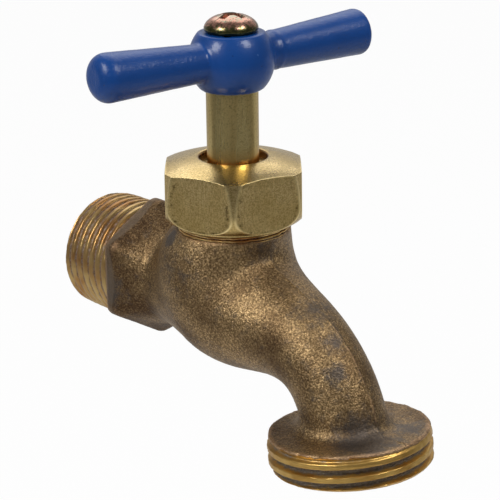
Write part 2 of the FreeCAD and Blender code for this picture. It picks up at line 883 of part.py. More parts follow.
def root_of(hypotenuse, leg):
    """Gives the other leg of a right triangle."""
    value = math.sqrt(hypotenuse.value ** 2 - leg.value ** 2)
    return Size(value, "sqrt(%s ^ 2 - %s ^ 2)" % (hypotenuse.formula, leg.formula))


def make_handle_screw(document, sheet):
    """Round-headed screw with a cross recess that clamps the handle on the stem."""
    body = new_body(document, "handle_screw", sheet)
    turn_body(body, sheet.handle_turn)
    shank = sheet.tapped_hole_radius - sheet.push_gap
    dome_foot = sheet.hub_top + sheet.screw_head_rim
    top = sheet.hub_top + sheet.screw_head_height
    sketch = new_sketch(body, "screw_profile", "YZ_Plane")
    add_outline(sketch, [
        (0, sheet.hub_top - sheet.screw_length),
        (shank, sheet.hub_top - sheet.screw_length),
        (shank, sheet.hub_top),
        (sheet.screw_head_radius, sheet.hub_top),
        (sheet.screw_head_radius, dome_foot),
        (0, top),
    ], {4: (dome_bow(sheet), 1)})
    spin(body, "Revolution", "screw_turned", sketch)
    recess_foot = top - sheet.recess_depth
    half_width = sheet.recess_width * HALF
    for name, across, along in (
        ("recess_across", sheet.recess_span, half_width),
        ("recess_along", half_width, sheet.recess_span),
    ):
        outline = new_sketch(body, name, "XY_Plane", shift=(0, 0, recess_foot))
        add_outline(outline, [
            (-across, -along), (across, -along), (across, along), (-across, along)
        ])
        pocket(body, name + "_cut", outline, sheet.recess_depth, away=True)
    return body


def dome_bow(sheet):
    """Gives the radius of the screw head's dome from its width and rise."""
    rise = sheet.screw_head_height - sheet.screw_head_rim
    radius = sheet.screw_head_radius
    value = (radius.value ** 2 + rise.value ** 2) / (2 * rise.value)
    return Size(
        value, "((%s ^ 2 + %s ^ 2) / (2 * %s))" % (radius.formula, rise.formula, rise.formula)
    )


def make_seat_washer(document, sheet):
    """Rubber washer that closes on the seat."""
    return make_ring(
        document, "seat_washer", sheet, sheet.seat_height, sheet.washer_top, sheet.screw_hole,
        sheet.cup_radius - sheet.push_gap,
    )


def solids_failed(document):
    """Lists every object that failed to compute."""
    return [item.Name for item in document.Objects if {"Invalid", "Error"} & set(item.State)]


def main():
    document = FreeCAD.newDocument("tap")
    sheet = Sheet(document)
    sheet.add_shared_places()
    document.recompute()
    parts = [make_valve_body(document, sheet), make_packing_nut(document, sheet)]
    parts += make_packing(document, sheet)
    for maker in (
        make_stem, make_disc_holder, make_swivel_clip, make_seat_washer, make_bibb_screw,
        make_handle, make_handle_screw,
    ):
        parts.append(maker(document, sheet))
    document.recompute()
    failed = solids_failed(document)
    if failed:
        raise RuntimeError("failed: " + ", ".join(failed))
    for part in parts:
        if part.Shape.isNull() or not part.Shape.isValid():
            raise RuntimeError("bad shape: " + part.Label)
    os.makedirs("parts", exist_ok=True)
    for part in parts:
        part.Shape.exportStep("parts/%s.step" % part.Label)
        print(part.Label, "%.1f mm3" % part.Shape.Volume, len(part.Shape.Solids), "solid")


main()
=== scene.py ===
import math
from contextlib import contextmanager

import bmesh
import bpy
import numpy as np
from mathutils import Matrix, Vector


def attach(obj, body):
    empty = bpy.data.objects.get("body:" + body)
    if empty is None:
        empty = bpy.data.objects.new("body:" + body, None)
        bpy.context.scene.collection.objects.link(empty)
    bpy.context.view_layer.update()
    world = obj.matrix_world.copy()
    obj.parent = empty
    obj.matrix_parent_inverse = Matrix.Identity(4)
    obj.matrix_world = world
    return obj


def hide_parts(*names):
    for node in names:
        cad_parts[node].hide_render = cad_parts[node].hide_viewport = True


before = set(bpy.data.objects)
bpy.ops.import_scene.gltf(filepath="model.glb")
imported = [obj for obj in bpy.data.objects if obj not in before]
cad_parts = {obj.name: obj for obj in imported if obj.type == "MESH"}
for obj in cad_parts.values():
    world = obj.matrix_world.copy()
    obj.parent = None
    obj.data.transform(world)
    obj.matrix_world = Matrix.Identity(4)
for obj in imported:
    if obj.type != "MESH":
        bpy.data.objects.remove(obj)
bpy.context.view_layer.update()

# Sizes are in millimetres, and the scene is in metres.
MM = 0.001
FULL_TURN = 2 * math.pi
STEM_REACH = 34.2

# Points this close are made one, in a mesh made here and in a copy of a node's mesh.
SAME_POINT = 1e-4
SAME_CORNER = 0.002

# Points in each ring of a turned piece.
ROUND_STEPS = 160
NUT_STEPS = 576
SCREW_STEPS = 192
HELPER_STEPS = 48
FLARE_STEPS = 96

# Inlet and hose collar.
INLET_RADIUS = 10.5
INLET_PITCH = 1.814
INLET_DEPTH = 0.5
INLET_LENGTH = 12.5
INLET_BORE = 6.85
INLET_TAPER = 1 / 60
PLATE_BACK = -12.1
PLATE_FRONT = -14.5
PLATE_HALF = 10.5
TUBE_RADIUS = 8.7
TUBE_FRONT = -18.8
GLOBE_EDGE = -25.0
FLARE_REACH = 8.2
FLARE_RISE = 1.85
FLARE_CURVE = 1.8
FLARE_LEAN = 0.35
SPOUT_ROOT = (0.0, -43.5, 8.5)
COLLAR_PLACE = (0.0, -61.62, -15.57)
COLLAR_TILT = 5.9
COLLAR_DEPTH = 5.93
COLLAR_RIM = 0.6
HOSE_RADIUS = 13.49
HOSE_PITCH = 2.209
HOSE_DEPTH = 1.1
HOSE_BORE = 8.2
HOSE_TURN = 68.0

# The skin of the casting and of the handle, and the seam that the mould left.
CUT_REACH = 20
CASTING_VOXEL = 0.4
HANDLE_VOXEL = 0.3
SWELL_DEPTH = 0.12
SEAM_HEIGHT = 0.6
SEAM_WIDTH = 0.35
SEAM_ROWS = (-SEAM_WIDTH, -0.15, 0.0, 0.15, SEAM_WIDTH)

# Neck, nut and stem.
NECK_FOOT = 12.4
NECK_RING_TOP = 13.5
NECK_TOP = 17.6
NECK_RADIUS = 9.1
NECK_RING_RADIUS = 9.45
STEM_BORE = 5.93
NUT_HALF = 11.225
NUT_BLANK = 12.72
NUT_FOOT = 13.6
NUT_TOP = 24.6
NUT_HOLE = 5.68
NUT_HOLE_ROUNDING = 0.35
NUT_FOOT_RADIUS = 10.5
NUT_FOOT_STEP = 0.4
NUT_WAIST = 17.3
NUT_SHOULDER = 22.85
NUT_SHOULDER_RADIUS = 12.32
NUT_SHOULDER_CURVE = 1.6
NUT_DOME_RISE = 1.25
NUT_DOME_CURVE = 1.4
NUT_LIP_FOOT = 23.25
PACKING_BORE = 7.17
NUT_TURN = 18.3
MILLING_SOFTNESS = 0.16
STEM_RADIUS = 4.33
STEM_SHOULDER = 36.0
STEM_FOOT = 4.9
STEM_THREAD_RADIUS = 5.85
STEM_THREAD_TOP = 11.9
SQUARE_HALF = 3.0
SQUARE_TOP = 44.8
PIN_BORE = 2.4
PIN_BORE_TOP = 9.75
SCREW_HOLE = 2.05
SCREW_HOLE_FOOT = 35.3

# Handle and its screw.
HANDLE_TURN = -6.0
HUB_TOP = 45.4
ARM_HEIGHT = 40.9
FLASH_PLACE = 8.3
FLASH_WIDTH = 0.6
FLASH_HEIGHT = 0.12
SCREW_RADIUS = 4.45
SCREW_HEIGHT = 3.02
SCREW_RIM = 0.5
SCREW_EDGE = 84
SCREW_SHANK = 2.0
SCREW_FOOT = 37.6
SCREW_TURN = 18.0
RECESS_REACH = 2.5
RECESS_HALF = 0.55
RECESS_CORNER = 1.7
RECESS_WALL = 0.25
RECESS_DEPTH = 2.2
RECESS_FULL = 0.96
RECESS_NONE = 4.16

# Spots of grey-blue on the casting: each has its place, how far it spreads and how thick it is.
# Most are scale that stayed; the one in the hollow between the inlet tube and the globe is
# painted shade.
SCALE_AND_SHADE_SPOTS = (
    ((-9.5, -28.7, 11.0), 2.0, 0.95),
    ((-1.5, -43.0, 11.0), 4.5, 0.22),
    # Painted shade in the hollow between the inlet tube and the globe.
    ((-11.8, -33.0, 6.0), 5.5, 0.16),
    ((-0.5, -54.5, 2.5), 5.5, 0.22),
    ((-1.3, -59.6, -1.0), 3.0, 0.28),
    ((-3.6, -62.2, -5.2), 3.0, 0.34),
    ((-4.0, -69.5, -15.3), 8.0, 0.5),
    ((5.0, -70.0, -15.3), 5.0, 0.35),
    ((-11.5, -13.0, -1.5), 5.0, 0.4),
    ((10.5, -30.0, 7.0), 4.5, 0.22),
    ((7.5, -48.0, -2.0), 4.5, 0.22),
    ((8.0, -20.0, -6.0), 4.0, 0.22),
)


def linear(colour):
    """Turns an sRGB hex colour into linear light."""
    parts = [int(colour[at:at + 2], 16) / 255 for at in (1, 3, 5)]
    return [
        part / 12.92 if part <= 0.04045 else ((part + 0.055) / 1.055) ** 2.4 for part in parts
    ] + [1.0]


def set_inputs(tree, node, inputs):
    """Sets or links a node's inputs by number or by name."""
    sockets = [socket for socket in node.inputs if socket.enabled]
    pairs = inputs.items() if isinstance(inputs, dict) else enumerate(inputs)
    for key, value in pairs:
        if isinstance(key, int):
            socket = sockets[key]
        else:
            socket = next(socket for socket in sockets if socket.name == key)
        if isinstance(value, bpy.types.Node):
            value = next(output for output in value.outputs if output.enabled)
        if isinstance(value, bpy.types.NodeSocket):
            tree.links.new(value, socket)
        elif isinstance(value, str) and value.startswith("#"):
            socket.default_value = linear(value)
        else:
            socket.default_value = value


def add_node(tree, kind, inputs=(), **settings):
    """Adds a node with its settings and inputs."""
    node = tree.nodes.new(kind)
    for name, value in settings.items():
        setattr(node, name, value)
    set_inputs(tree, node, inputs)
    return node


def empty_material(name):
    """Makes a material whose tree has no nodes yet."""
    material = bpy.data.materials.new(name)
    material.use_nodes = True
    material.node_tree.nodes.clear()
    return material, material.node_tree


def start_material(name):
    """Starts a material: gives its tree, its shader and the place on the object in millimetres."""
    material, tree = empty_material(name)
    shader = add_node(tree, "ShaderNodeBsdfPrincipled")
    add_node(tree, "ShaderNodeOutputMaterial", {"Surface": shader})
    place = add_node(tree, "ShaderNodeTexCoord").outputs["Object"]
    place = add_node(
        tree, "ShaderNodeVectorMath", {0: place, "Scale": 1 / MM}, operation="SCALE"
    )
    return material, tree, shader, place


def sand_cast_bronze():
    """Bronze cast in sand and left as it came out: an olive-tan skin that glitters on its fine
    grain, with painted highlights on it, brown where it has tarnished, grey-blue where scale
    stayed, and painted shade beside the plate and in the hollow by the inlet tube."""
    material, tree, shader, place = start_material("sand_cast_bronze")
    parts = add_node(tree, "ShaderNodeSeparateXYZ", [place])
    cloud = add_node(
        tree, "ShaderNodeTexNoise", {"Vector": place, "Scale": 1 / 6, "Detail": 6.0}
    )
    # Beside the plate the skin is painted darker, as painted shade in the corner by the plate.
    plate_shade = add_node(
        tree, "ShaderNodeMapRange", [parts.outputs["Y"], -24.0, PLATE_FRONT, 0.0, 0.3]
    )
    tarnish_cloud_and_plate_shade = add_node(tree, "ShaderNodeMath", [cloud, plate_shade], operation="ADD")
    tarnish_and_plate_shade = add_node(tree, "ShaderNodeMapRange", [tarnish_cloud_and_plate_shade, 0.36, 0.8, 0.0, 1.0])
    metal = add_node(
        tree, "ShaderNodeMix", {"Factor": tarnish_and_plate_shade, "A": "#9a7f59", "B": "#5d462f"},
        data_type="RGBA",
    )
    # Sand grains are about 0.25 mm across, and are drawn a little coarser so that they show.
    grain = add_node(
        tree, "ShaderNodeTexNoise",
        {"Vector": place, "Scale": 1 / 0.3, "Detail": 2.0, "Roughness": 0.6},
    )
    pits = add_node(tree, "ShaderNodeMapRange", [grain, 0.36, 0.52, 0.62, 0.0])
    speckled = add_node(
        tree, "ShaderNodeMix", {"Factor": pits, "A": metal, "B": "#35281a"}, data_type="RGBA"
    )
    # Lighter specks on the grain are painted highlights, fewer where the skin is tarnished.
    painted_glints = add_node(tree, "ShaderNodeMapRange", [grain, 0.54, 0.66, 0.0, 0.65])
    clean = add_node(tree, "ShaderNodeMapRange", [tarnish_and_plate_shade, 0.1, 0.7, 1.0, 0.3])
    painted_glint_share = add_node(tree, "ShaderNodeMath", [painted_glints, clean], operation="MULTIPLY")
    painted_glinting = add_node(
        tree, "ShaderNodeMix", {"Factor": painted_glint_share, "A": speckled, "B": "#dcbb88"},
        data_type="RGBA",
    )
    # Grey-blue spots: scale that stayed, and painted shade in the hollow by the inlet tube.
    scale_and_shade_patch = 0.0
    for spot, size, thickness in SCALE_AND_SHADE_SPOTS:
        away = add_node(
            tree, "ShaderNodeVectorMath", [place, spot], operation="DISTANCE"
        )
        near = add_node(tree, "ShaderNodeMapRange", [away, 0.0, size, thickness, 0.0])
        scale_and_shade_patch = add_node(tree, "ShaderNodeMath", [scale_and_shade_patch, near], operation="MAXIMUM")
    scale_cloud = add_node(
        tree, "ShaderNodeTexNoise",
        {"Vector": place, "Scale": 1 / 1.8, "Detail": 6.0, "Roughness": 0.75},
    )
    scale_spread = add_node(tree, "ShaderNodeMath", [scale_and_shade_patch, scale_cloud], operation="ADD")
    scale = add_node(tree, "ShaderNodeMapRange", [scale_spread, 0.54, 0.78, 0.0, 0.8])
    scaled = add_node(
        tree, "ShaderNodeMix", {"Factor": scale, "A": painted_glinting, "B": "#56504c"},
        data_type="RGBA",
    )
    # The plate's six sides were cleaned with a file. Its corners were turned off in front, so
    # each side ends in an arc there.
    flat = add_node(
        tree, "ShaderNodeVectorMath", [place, (1.0, 0.0, 1.0)], operation="MULTIPLY"
    )
    reach = add_node(
        tree, "ShaderNodeVectorMath", [flat], operation="LENGTH"
    ).outputs["Value"]
    beyond = add_node(tree, "ShaderNodeMath", [PLATE_HALF, reach], operation="SUBTRACT")
    arc = add_node(
        tree, "ShaderNodeMath", [beyond, 0.7, parts.outputs["Y"]], operation="MULTIPLY_ADD"
    )
    side = add_node(
        tree, "ShaderNodeMapRange", [arc, PLATE_FRONT - 0.55, PLATE_FRONT - 0.3, 0.0, 0.55]
    )
    filed = add_node(
        tree, "ShaderNodeMix", {"Factor": side, "A": scaled, "B": "#7f6e5b"}, data_type="RGBA"
    )
    wear = add_node(tree, "ShaderNodeAttribute", attribute_name="wear").outputs["Fac"]
    rubbing = add_node(tree, "ShaderNodeMapRange", [scale_cloud, 0.4, 0.6, 0.3, 0.9])
    edge = add_node(tree, "ShaderNodeMapRange", [wear, 0.012, 0.05, 0.0, 1.0])
    worn = add_node(tree, "ShaderNodeMath", [edge, rubbing], operation="MULTIPLY")
    rubbed = add_node(
        tree, "ShaderNodeMix", {"Factor": worn, "A": filed, "B": "#c9a27c"}, data_type="RGBA"
    )
    rough = add_node(tree, "ShaderNodeMapRange", [tarnish_and_plate_shade, 0.0, 1.0, 0.43, 0.56])
    lumps = add_node(
        tree, "ShaderNodeTexNoise", {"Vector": place, "Scale": 1 / 0.9, "Detail": 3.0}
    )
    relief = add_node(tree, "ShaderNodeMath", [lumps, 0.9, grain], operation="MULTIPLY_ADD")
    height = add_node(
        tree, "ShaderNodeBump", {"Strength": 1.0, "Distance": 0.12 * MM, "Height": relief}
    )
    set_inputs(tree, shader, {
        "Base Color": rubbed, "Metallic": 0.92, "Roughness": rough, "Normal": height,
    })
    return material


def thread_cut_bronze(name, crest, stain, valley):
    """Bronze with a thread cut into it: golden crests with darker stains, and dull dirty
    valleys where the tool has torn the casting."""
    material, tree, shader, place = start_material(name)
    depth = add_node(tree, "ShaderNodeAttribute", attribute_name="valley").outputs["Fac"]
    dirt = add_node(
        tree, "ShaderNodeTexNoise",
        {"Vector": place, "Scale": 1 / 1.6, "Detail": 5.0, "Roughness": 0.7},
    )
    dirty = add_node(tree, "ShaderNodeMath", [dirt, 0.5], operation="SUBTRACT")
    spread = add_node(
        tree, "ShaderNodeMath", [dirty, 1.3, depth], operation="MULTIPLY_ADD"
    )
    soiled = add_node(tree, "ShaderNodeMapRange", [spread, 0.45, 0.85, 0.0, 1.0])
    flecks = add_node(
        tree, "ShaderNodeTexNoise", {"Vector": place, "Scale": 1 / 0.4, "Detail": 3.0}
    )
    fleck = add_node(tree, "ShaderNodeMapRange", [flecks, 0.42, 0.66, 0.0, 0.6])
    ground = add_node(
        tree, "ShaderNodeMix", {"Factor": fleck, "A": valley, "B": "#a89f92"}, data_type="RGBA"
    )
    cloud = add_node(
        tree, "ShaderNodeTexNoise", {"Vector": place, "Scale": 1 / 5, "Detail": 4.0}
    )
    tone = add_node(tree, "ShaderNodeMapRange", [cloud, 0.4, 0.62, 0.0, 0.8])
    ridge = add_node(
        tree, "ShaderNodeMix", {"Factor": tone, "A": crest, "B": stain}, data_type="RGBA"
    )
    colour = add_node(
        tree, "ShaderNodeMix", {"Factor": soiled, "A": ridge, "B": ground}, data_type="RGBA"
    )
    rough = add_node(tree, "ShaderNodeMapRange", [soiled, 0.0, 1.0, 0.38, 0.6])
    height = add_node(
        tree, "ShaderNodeBump", {"Strength": 0.35, "Distance": 0.05 * MM, "Height": flecks}
    )
    set_inputs(tree, shader, {
        "Base Color": colour, "Metallic": 0.95, "Roughness": rough, "Normal": height,
    })
    return material


def milled_brass():
    """Brass bar milled to a hexagon and turned on top: pale yellow and satin, with a fine
    speckle, edges rubbed bright and painted as a highlight, and brown dirt and painted shade in
    the hole and under the foot."""
    material, tree, shader, place = start_material("milled_brass")
    cloud = add_node(
        tree, "ShaderNodeTexNoise", {"Vector": place, "Scale": 1 / 5, "Detail": 4.0}
    )
    tone = add_node(tree, "ShaderNodeMapRange", [cloud, 0.35, 0.7, 0.0, 1.0])
    body = add_node(
        tree, "ShaderNodeMix", {"Factor": tone, "A": "#dcc187", "B": "#c5aa6e"},
        data_type="RGBA",
    )
    speckle = add_node(
        tree, "ShaderNodeTexNoise",
        {"Vector": place, "Scale": 1 / 0.28, "Detail": 3.0, "Roughness": 0.65},
    )
    stretch = add_node(
        tree, "ShaderNodeVectorMath", [place, (1.0, 1.0, 0.12)], operation="MULTIPLY"
    )
    # The cutter's lines are about 0.2 mm apart.
    lines = add_node(
        tree, "ShaderNodeTexNoise", {"Vector": stretch, "Scale": 1 / 0.22, "Detail": 2.0}
    )
    mottle = add_node(tree, "ShaderNodeMath", [lines, 0.25, speckle], operation="MULTIPLY_ADD")
    specks = add_node(tree, "ShaderNodeMapRange", [mottle, 0.5, 0.75, 0.65, 0.0])
    speckled = add_node(
        tree, "ShaderNodeMix", {"Factor": specks, "A": body, "B": "#8a743f"},
        data_type="RGBA",
    )
    # Where a flat ends its edge is painted light: partly rubbed bright, partly a painted
    # highlight.
    border = add_node(tree, "ShaderNodeAttribute", attribute_name="border").outputs["Fac"]
    rubbing = add_node(tree, "ShaderNodeMapRange", [cloud, 0.4, 0.6, 0.5, 1.0])
    rub_and_highlight = add_node(tree, "ShaderNodeMath", [border, rubbing], operation="MULTIPLY")
    bright = add_node(
        tree, "ShaderNodeMix", {"Factor": rub_and_highlight, "A": speckled, "B": "#f2da9c"},
        data_type="RGBA",
    )
    soil = add_node(tree, "ShaderNodeAttribute", attribute_name="soil").outputs["Fac"]
    crumbs = add_node(
        tree, "ShaderNodeTexNoise",
        {"Vector": place, "Scale": 1 / 1.1, "Detail": 5.0, "Roughness": 0.7},
    )
    crumb = add_node(tree, "ShaderNodeMapRange", [crumbs, 0.5, 0.62, 0.0, 0.85])
    soiling = add_node(tree, "ShaderNodeMath", [soil, crumb], operation="MULTIPLY")
    soiled = add_node(
        tree, "ShaderNodeMix", {"Factor": soiling, "A": bright, "B": "#3a2c14"},
        data_type="RGBA",
    )
    # Brown in the hole and under the foot: dirt, and painted shade in these recesses.
    grime_and_shade = add_node(tree, "ShaderNodeAttribute", attribute_name="grime_and_shade").outputs["Fac"]
    dirty = add_node(tree, "ShaderNodeMath", [grime_and_shade, 0.85], operation="MULTIPLY")
    colour = add_node(
        tree, "ShaderNodeMix", {"Factor": dirty, "A": soiled, "B": "#9d7648"},
        data_type="RGBA",
    )
    relief = add_node(tree, "ShaderNodeMath", [speckle, 1.5, lines], operation="MULTIPLY_ADD")
    height = add_node(
        tree, "ShaderNodeBump", {"Strength": 0.4, "Distance": 0.03 * MM, "Height": relief}
    )
    rough = add_node(tree, "ShaderNodeMapRange", [tone, 0.0, 1.0, 0.24, 0.34])
    set_inputs(tree, shader, {
        "Base Color": colour, "Metallic": 1.0, "Roughness": rough, "Normal": height,
    })
    return material


def turned_brass():
    """Brass rod drawn and turned smooth, gone a little olive with age: faint streaks along it
    and a few dark pits."""
    material, tree, shader, place = start_material("turned_brass")
    drawn = add_node(
        tree, "ShaderNodeVectorMath", [place, (1.0, 1.0, 0.06)], operation="MULTIPLY"
    )
    streaks = add_node(
        tree, "ShaderNodeTexNoise", {"Vector": drawn, "Scale": 1 / 1.3, "Detail": 4.0}
    )
    tone = add_node(tree, "ShaderNodeMapRange", [streaks, 0.36, 0.64, 0.0, 1.0])
    body = add_node(
        tree, "ShaderNodeMix", {"Factor": tone, "A": "#e6d090", "B": "#c4ab70"},
        data_type="RGBA",
    )
    speckle = add_node(
        tree, "ShaderNodeTexNoise", {"Vector": place, "Scale": 1 / 0.3, "Detail": 3.0}
    )
    specks = add_node(tree, "ShaderNodeMapRange", [speckle, 0.34, 0.5, 0.35, 0.0])
    speckled = add_node(
        tree, "ShaderNodeMix", {"Factor": specks, "A": body, "B": "#6f5f35"},
        data_type="RGBA",
    )
    spots = add_node(
        tree, "ShaderNodeTexVoronoi", {"Vector": place, "Scale": 1 / 2.6}, feature="F1"
    )
    spot = add_node(
        tree, "ShaderNodeMapRange", [spots.outputs["Distance"], 0.07, 0.11, 0.85, 0.0]
    )
    pitted = add_node(
        tree, "ShaderNodeMix", {"Factor": spot, "A": speckled, "B": "#3f331a"},
        data_type="RGBA",
    )
    # What runs in the nut and the packing is stained, up to just above the nut, where the warm
    # band is also a painted reflection of the nut's golden dome.
    parts = add_node(tree, "ShaderNodeSeparateXYZ", [place])
    stain = add_node(
        tree, "ShaderNodeMapRange", [parts.outputs["Z"], NUT_TOP, NUT_TOP + 2.4, 0.9, 0.0]
    )
    colour = add_node(
        tree, "ShaderNodeMix", {"Factor": stain, "A": pitted, "B": "#d3ab63"},
        data_type="RGBA",
    )
    relief = add_node(tree, "ShaderNodeMath", [spot, -1.0, speckle], operation="MULTIPLY_ADD")
    height = add_node(
        tree, "ShaderNodeBump", {"Strength": 0.3, "Distance": 0.02 * MM, "Height": relief}
    )
    rough = add_node(tree, "ShaderNodeMapRange", [tone, 0.0, 1.0, 0.26, 0.34])
    set_inputs(tree, shader, {
        "Base Color": colour, "Metallic": 1.0, "Roughness": rough, "Normal": height,
    })
    return material


def blue_enamel():
    """Glossy blue enamel baked on a rough casting: even in colour, with an orange peel, small
    dark flaws and pale flecks of dust."""
    material, tree, shader, place = start_material("baked_blue_enamel")
    cloud = add_node(
        tree, "ShaderNodeTexNoise", {"Vector": place, "Scale": 1 / 6, "Detail": 3.0}
    )
    colour = add_node(
        tree, "ShaderNodeMix", {"Factor": cloud, "A": "#043a7c", "B": "#094289"},
        data_type="RGBA",
    )
    peel = add_node(
        tree, "ShaderNodeTexNoise",
        {"Vector": place, "Scale": 1 / 0.6, "Detail": 4.0, "Roughness": 0.65},
    )
    flaw_noise = add_node(
        tree, "ShaderNodeTexNoise",
        {"Vector": place, "Scale": 1 / 1.3, "Detail": 4.0, "Roughness": 0.7},
    )
    flaws = add_node(tree, "ShaderNodeMapRange", [flaw_noise, 0.27, 0.33, 1.0, 0.0])
    dulled = add_node(
        tree, "ShaderNodeMix", {"Factor": flaws, "A": colour, "B": "#0a2656"},
        data_type="RGBA",
    )
    dust = add_node(tree, "ShaderNodeMapRange", [flaw_noise, 0.69, 0.74, 0.0, 0.6])
    dusty = add_node(
        tree, "ShaderNodeMix", {"Factor": dust, "A": dulled, "B": "#5b7fb4"},
        data_type="RGBA",
    )
    peeled = add_node(tree, "ShaderNodeMath", [flaws, -0.6, peel], operation="MULTIPLY_ADD")
    # The coat lies smooth on the ball, and shows the casting's grain on the arms.
    away = add_node(
        tree, "ShaderNodeVectorMath", [place, (0.0, -STEM_REACH, ARM_HEIGHT)],
        operation="DISTANCE",
    )
    on_arms = add_node(tree, "ShaderNodeMapRange", [away, 7.6, 9.6, 0.25, 1.0])
    relief = add_node(tree, "ShaderNodeMath", [peeled, on_arms], operation="MULTIPLY")
    height = add_node(
        tree, "ShaderNodeBump", {"Strength": 0.6, "Distance": 0.13 * MM, "Height": relief}
    )
    rough = add_node(tree, "ShaderNodeMapRange", [peel, 0.3, 0.7, 0.34, 0.46])
    set_inputs(tree, shader, {
        "Base Color": dusty, "Roughness": rough, "Normal": height, "Specular IOR Level": 0.22,
        "Coat Weight": 0.36, "Coat Roughness": 0.12, "Coat Normal": height,
    })
    return material


def yellow_passivated_zinc():
    """Zinc plate with a yellow passivation: a thin film on a mirror-like metal, olive where it
    is thick round the rim, pink above and grey-green on top."""
    material, tree, shader, place = start_material("yellow_passivated_zinc")
    film = add_node(
        tree, "ShaderNodeTexNoise",
        {"Vector": place, "Scale": 1 / 1.0, "Detail": 5.0, "Roughness": 0.7},
    )
    parts = add_node(tree, "ShaderNodeSeparateXYZ", [place])
    level = add_node(
        tree, "ShaderNodeMapRange",
        [parts.outputs["Z"], HUB_TOP, HUB_TOP + SCREW_HEIGHT, -0.3, 0.3],
    )
    thickness = add_node(tree, "ShaderNodeMath", [film, level], operation="ADD")
    pink = add_node(tree, "ShaderNodeMapRange", [thickness, 0.42, 0.56, 0.0, 1.0])
    grey = add_node(tree, "ShaderNodeMapRange", [thickness, 0.66, 0.8, 0.0, 1.0])
    first = add_node(
        tree, "ShaderNodeMix", {"Factor": pink, "A": "#625f3b", "B": "#cd9a86"},
        data_type="RGBA",
    )
    second = add_node(
        tree, "ShaderNodeMix", {"Factor": grey, "A": first, "B": "#a39f88"},
        data_type="RGBA",
    )
    # Dark green freckles of about 0.2 mm lie in the film, most of them round the rim.
    freckles = add_node(
        tree, "ShaderNodeTexNoise", {"Vector": place, "Scale": 1 / 0.4, "Detail": 3.0}
    )
    crowding = add_node(tree, "ShaderNodeMath", [level, 0.25, freckles], operation="MULTIPLY_ADD")
    freckle = add_node(tree, "ShaderNodeMapRange", [crowding, 0.4, 0.5, 0.6, 0.0])
    colour = add_node(
        tree, "ShaderNodeMix", {"Factor": freckle, "A": second, "B": "#353a29"},
        data_type="RGBA",
    )
    height = add_node(
        tree, "ShaderNodeBump", {"Strength": 0.35, "Distance": 0.04 * MM, "Height": film}
    )
    set_inputs(tree, shader, {
        "Base Color": colour, "Metallic": 1.0, "Roughness": 0.24, "Normal": height,
    })
    return material


def hidden_finish(name, dark, light, grain, roughness, metallic=0.0):
    """A finish for the pieces inside: two tones in a grain of a given size, with its relief."""
    material, tree, shader, place = start_material(name)
    noise = add_node(
        tree, "ShaderNodeTexNoise", {"Vector": place, "Scale": 1 / grain, "Detail": 4.0}
    )
    colour = add_node(
        tree, "ShaderNodeMix", {"Factor": noise, "A": dark, "B": light}, data_type="RGBA"
    )
    height = add_node(
        tree, "ShaderNodeBump", {"Strength": 0.4, "Distance": 0.05 * MM, "Height": noise}
    )
    set_inputs(tree, shader, {
        "Base Color": colour, "Metallic": metallic, "Roughness": roughness, "Normal": height,
    })
    return material


def new_object(name, mesh):
    """Puts a mesh in the scene as an object at the origin."""
    piece = bpy.data.objects.new(name, mesh)
    bpy.context.scene.collection.objects.link(piece)
    return piece


def remove_object(piece):
    """Takes a helper object and its mesh out of the scene."""
    mesh = piece.data
    bpy.data.objects.remove(piece)
    bpy.data.meshes.remove(mesh)


def settle(piece):
    """Turns an object with its modifiers into a plain mesh."""
    graph = bpy.context.evaluated_depsgraph_get()
    mesh = bpy.data.meshes.new_from_object(
        piece.evaluated_get(graph), preserve_all_data_layers=True, depsgraph=graph
    )
    piece.modifiers.clear()
    piece.data = mesh
    return piece


def dress(piece, material, body, slot, nodes=(), sharp=40):
    """Gives a piece its finish, its smooth shading, the body it rides on and the nodes it
    stands for."""
    piece.data.materials.clear()
    piece.data.materials.append(material)
    piece.data.shade_smooth()
    piece.data.set_sharp_from_angle(angle=math.radians(sharp))
    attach(piece, body)
    if nodes:
        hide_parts(*nodes)
    return piece


@contextmanager
def editing(mesh):
    """Opens a mesh for editing, and writes it back afterwards."""
    shell = bmesh.new()
    shell.from_mesh(mesh)
    yield shell
    shell.to_mesh(mesh)
    shell.free()


def merged_copy(node):
    """Copies a node's mesh and joins its loose triangles into one skin."""
    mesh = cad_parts[node].data.copy()
    mesh.materials.clear()
    with editing(mesh) as shell:
        bmesh.ops.remove_doubles(shell, verts=shell.verts, dist=SAME_CORNER * MM)
    return mesh


def fade(values, full, none):
    """Gives 1 for values up to one limit, 0 from another on, and a straight fall between."""
    return np.clip((none - values) / (none - full), 0, 1)


def ring(radius, height, steps, turn=0):
    """Gives a ring of points about the z axis, with one radius and height or one for each."""
    angles = np.arange(steps) * FULL_TURN / steps + math.radians(turn)
    radius = np.broadcast_to(radius, angles.shape)
    height = np.broadcast_to(height, angles.shape)
    return np.stack([radius * np.cos(angles), radius * np.sin(angles), height], axis=1)


def skin(name, rings, loop=False):
    """Builds a closed mesh from rings of points. A loop joins the last ring to the first, and
    otherwise the first and last rings are poles."""
    steps = len(rings[0])
    strips = len(rings) if loop else len(rings) - 1
    faces = []
    for row in range(strips):
        low = row * steps
        high = (row + 1) % len(rings) * steps
        for step in range(steps):
            after = (step + 1) % steps
            faces.append((low + step, low + after, high + after, high + step))
    mesh = bpy.data.meshes.new(name)
    mesh.from_pydata((np.concatenate(rings) * MM).tolist(), [], faces)
    with editing(mesh) as shell:
        bmesh.ops.remove_doubles(shell, verts=shell.verts, dist=SAME_POINT * MM)
        bmesh.ops.recalc_face_normals(shell, faces=shell.faces)
    return new_object(name, mesh)


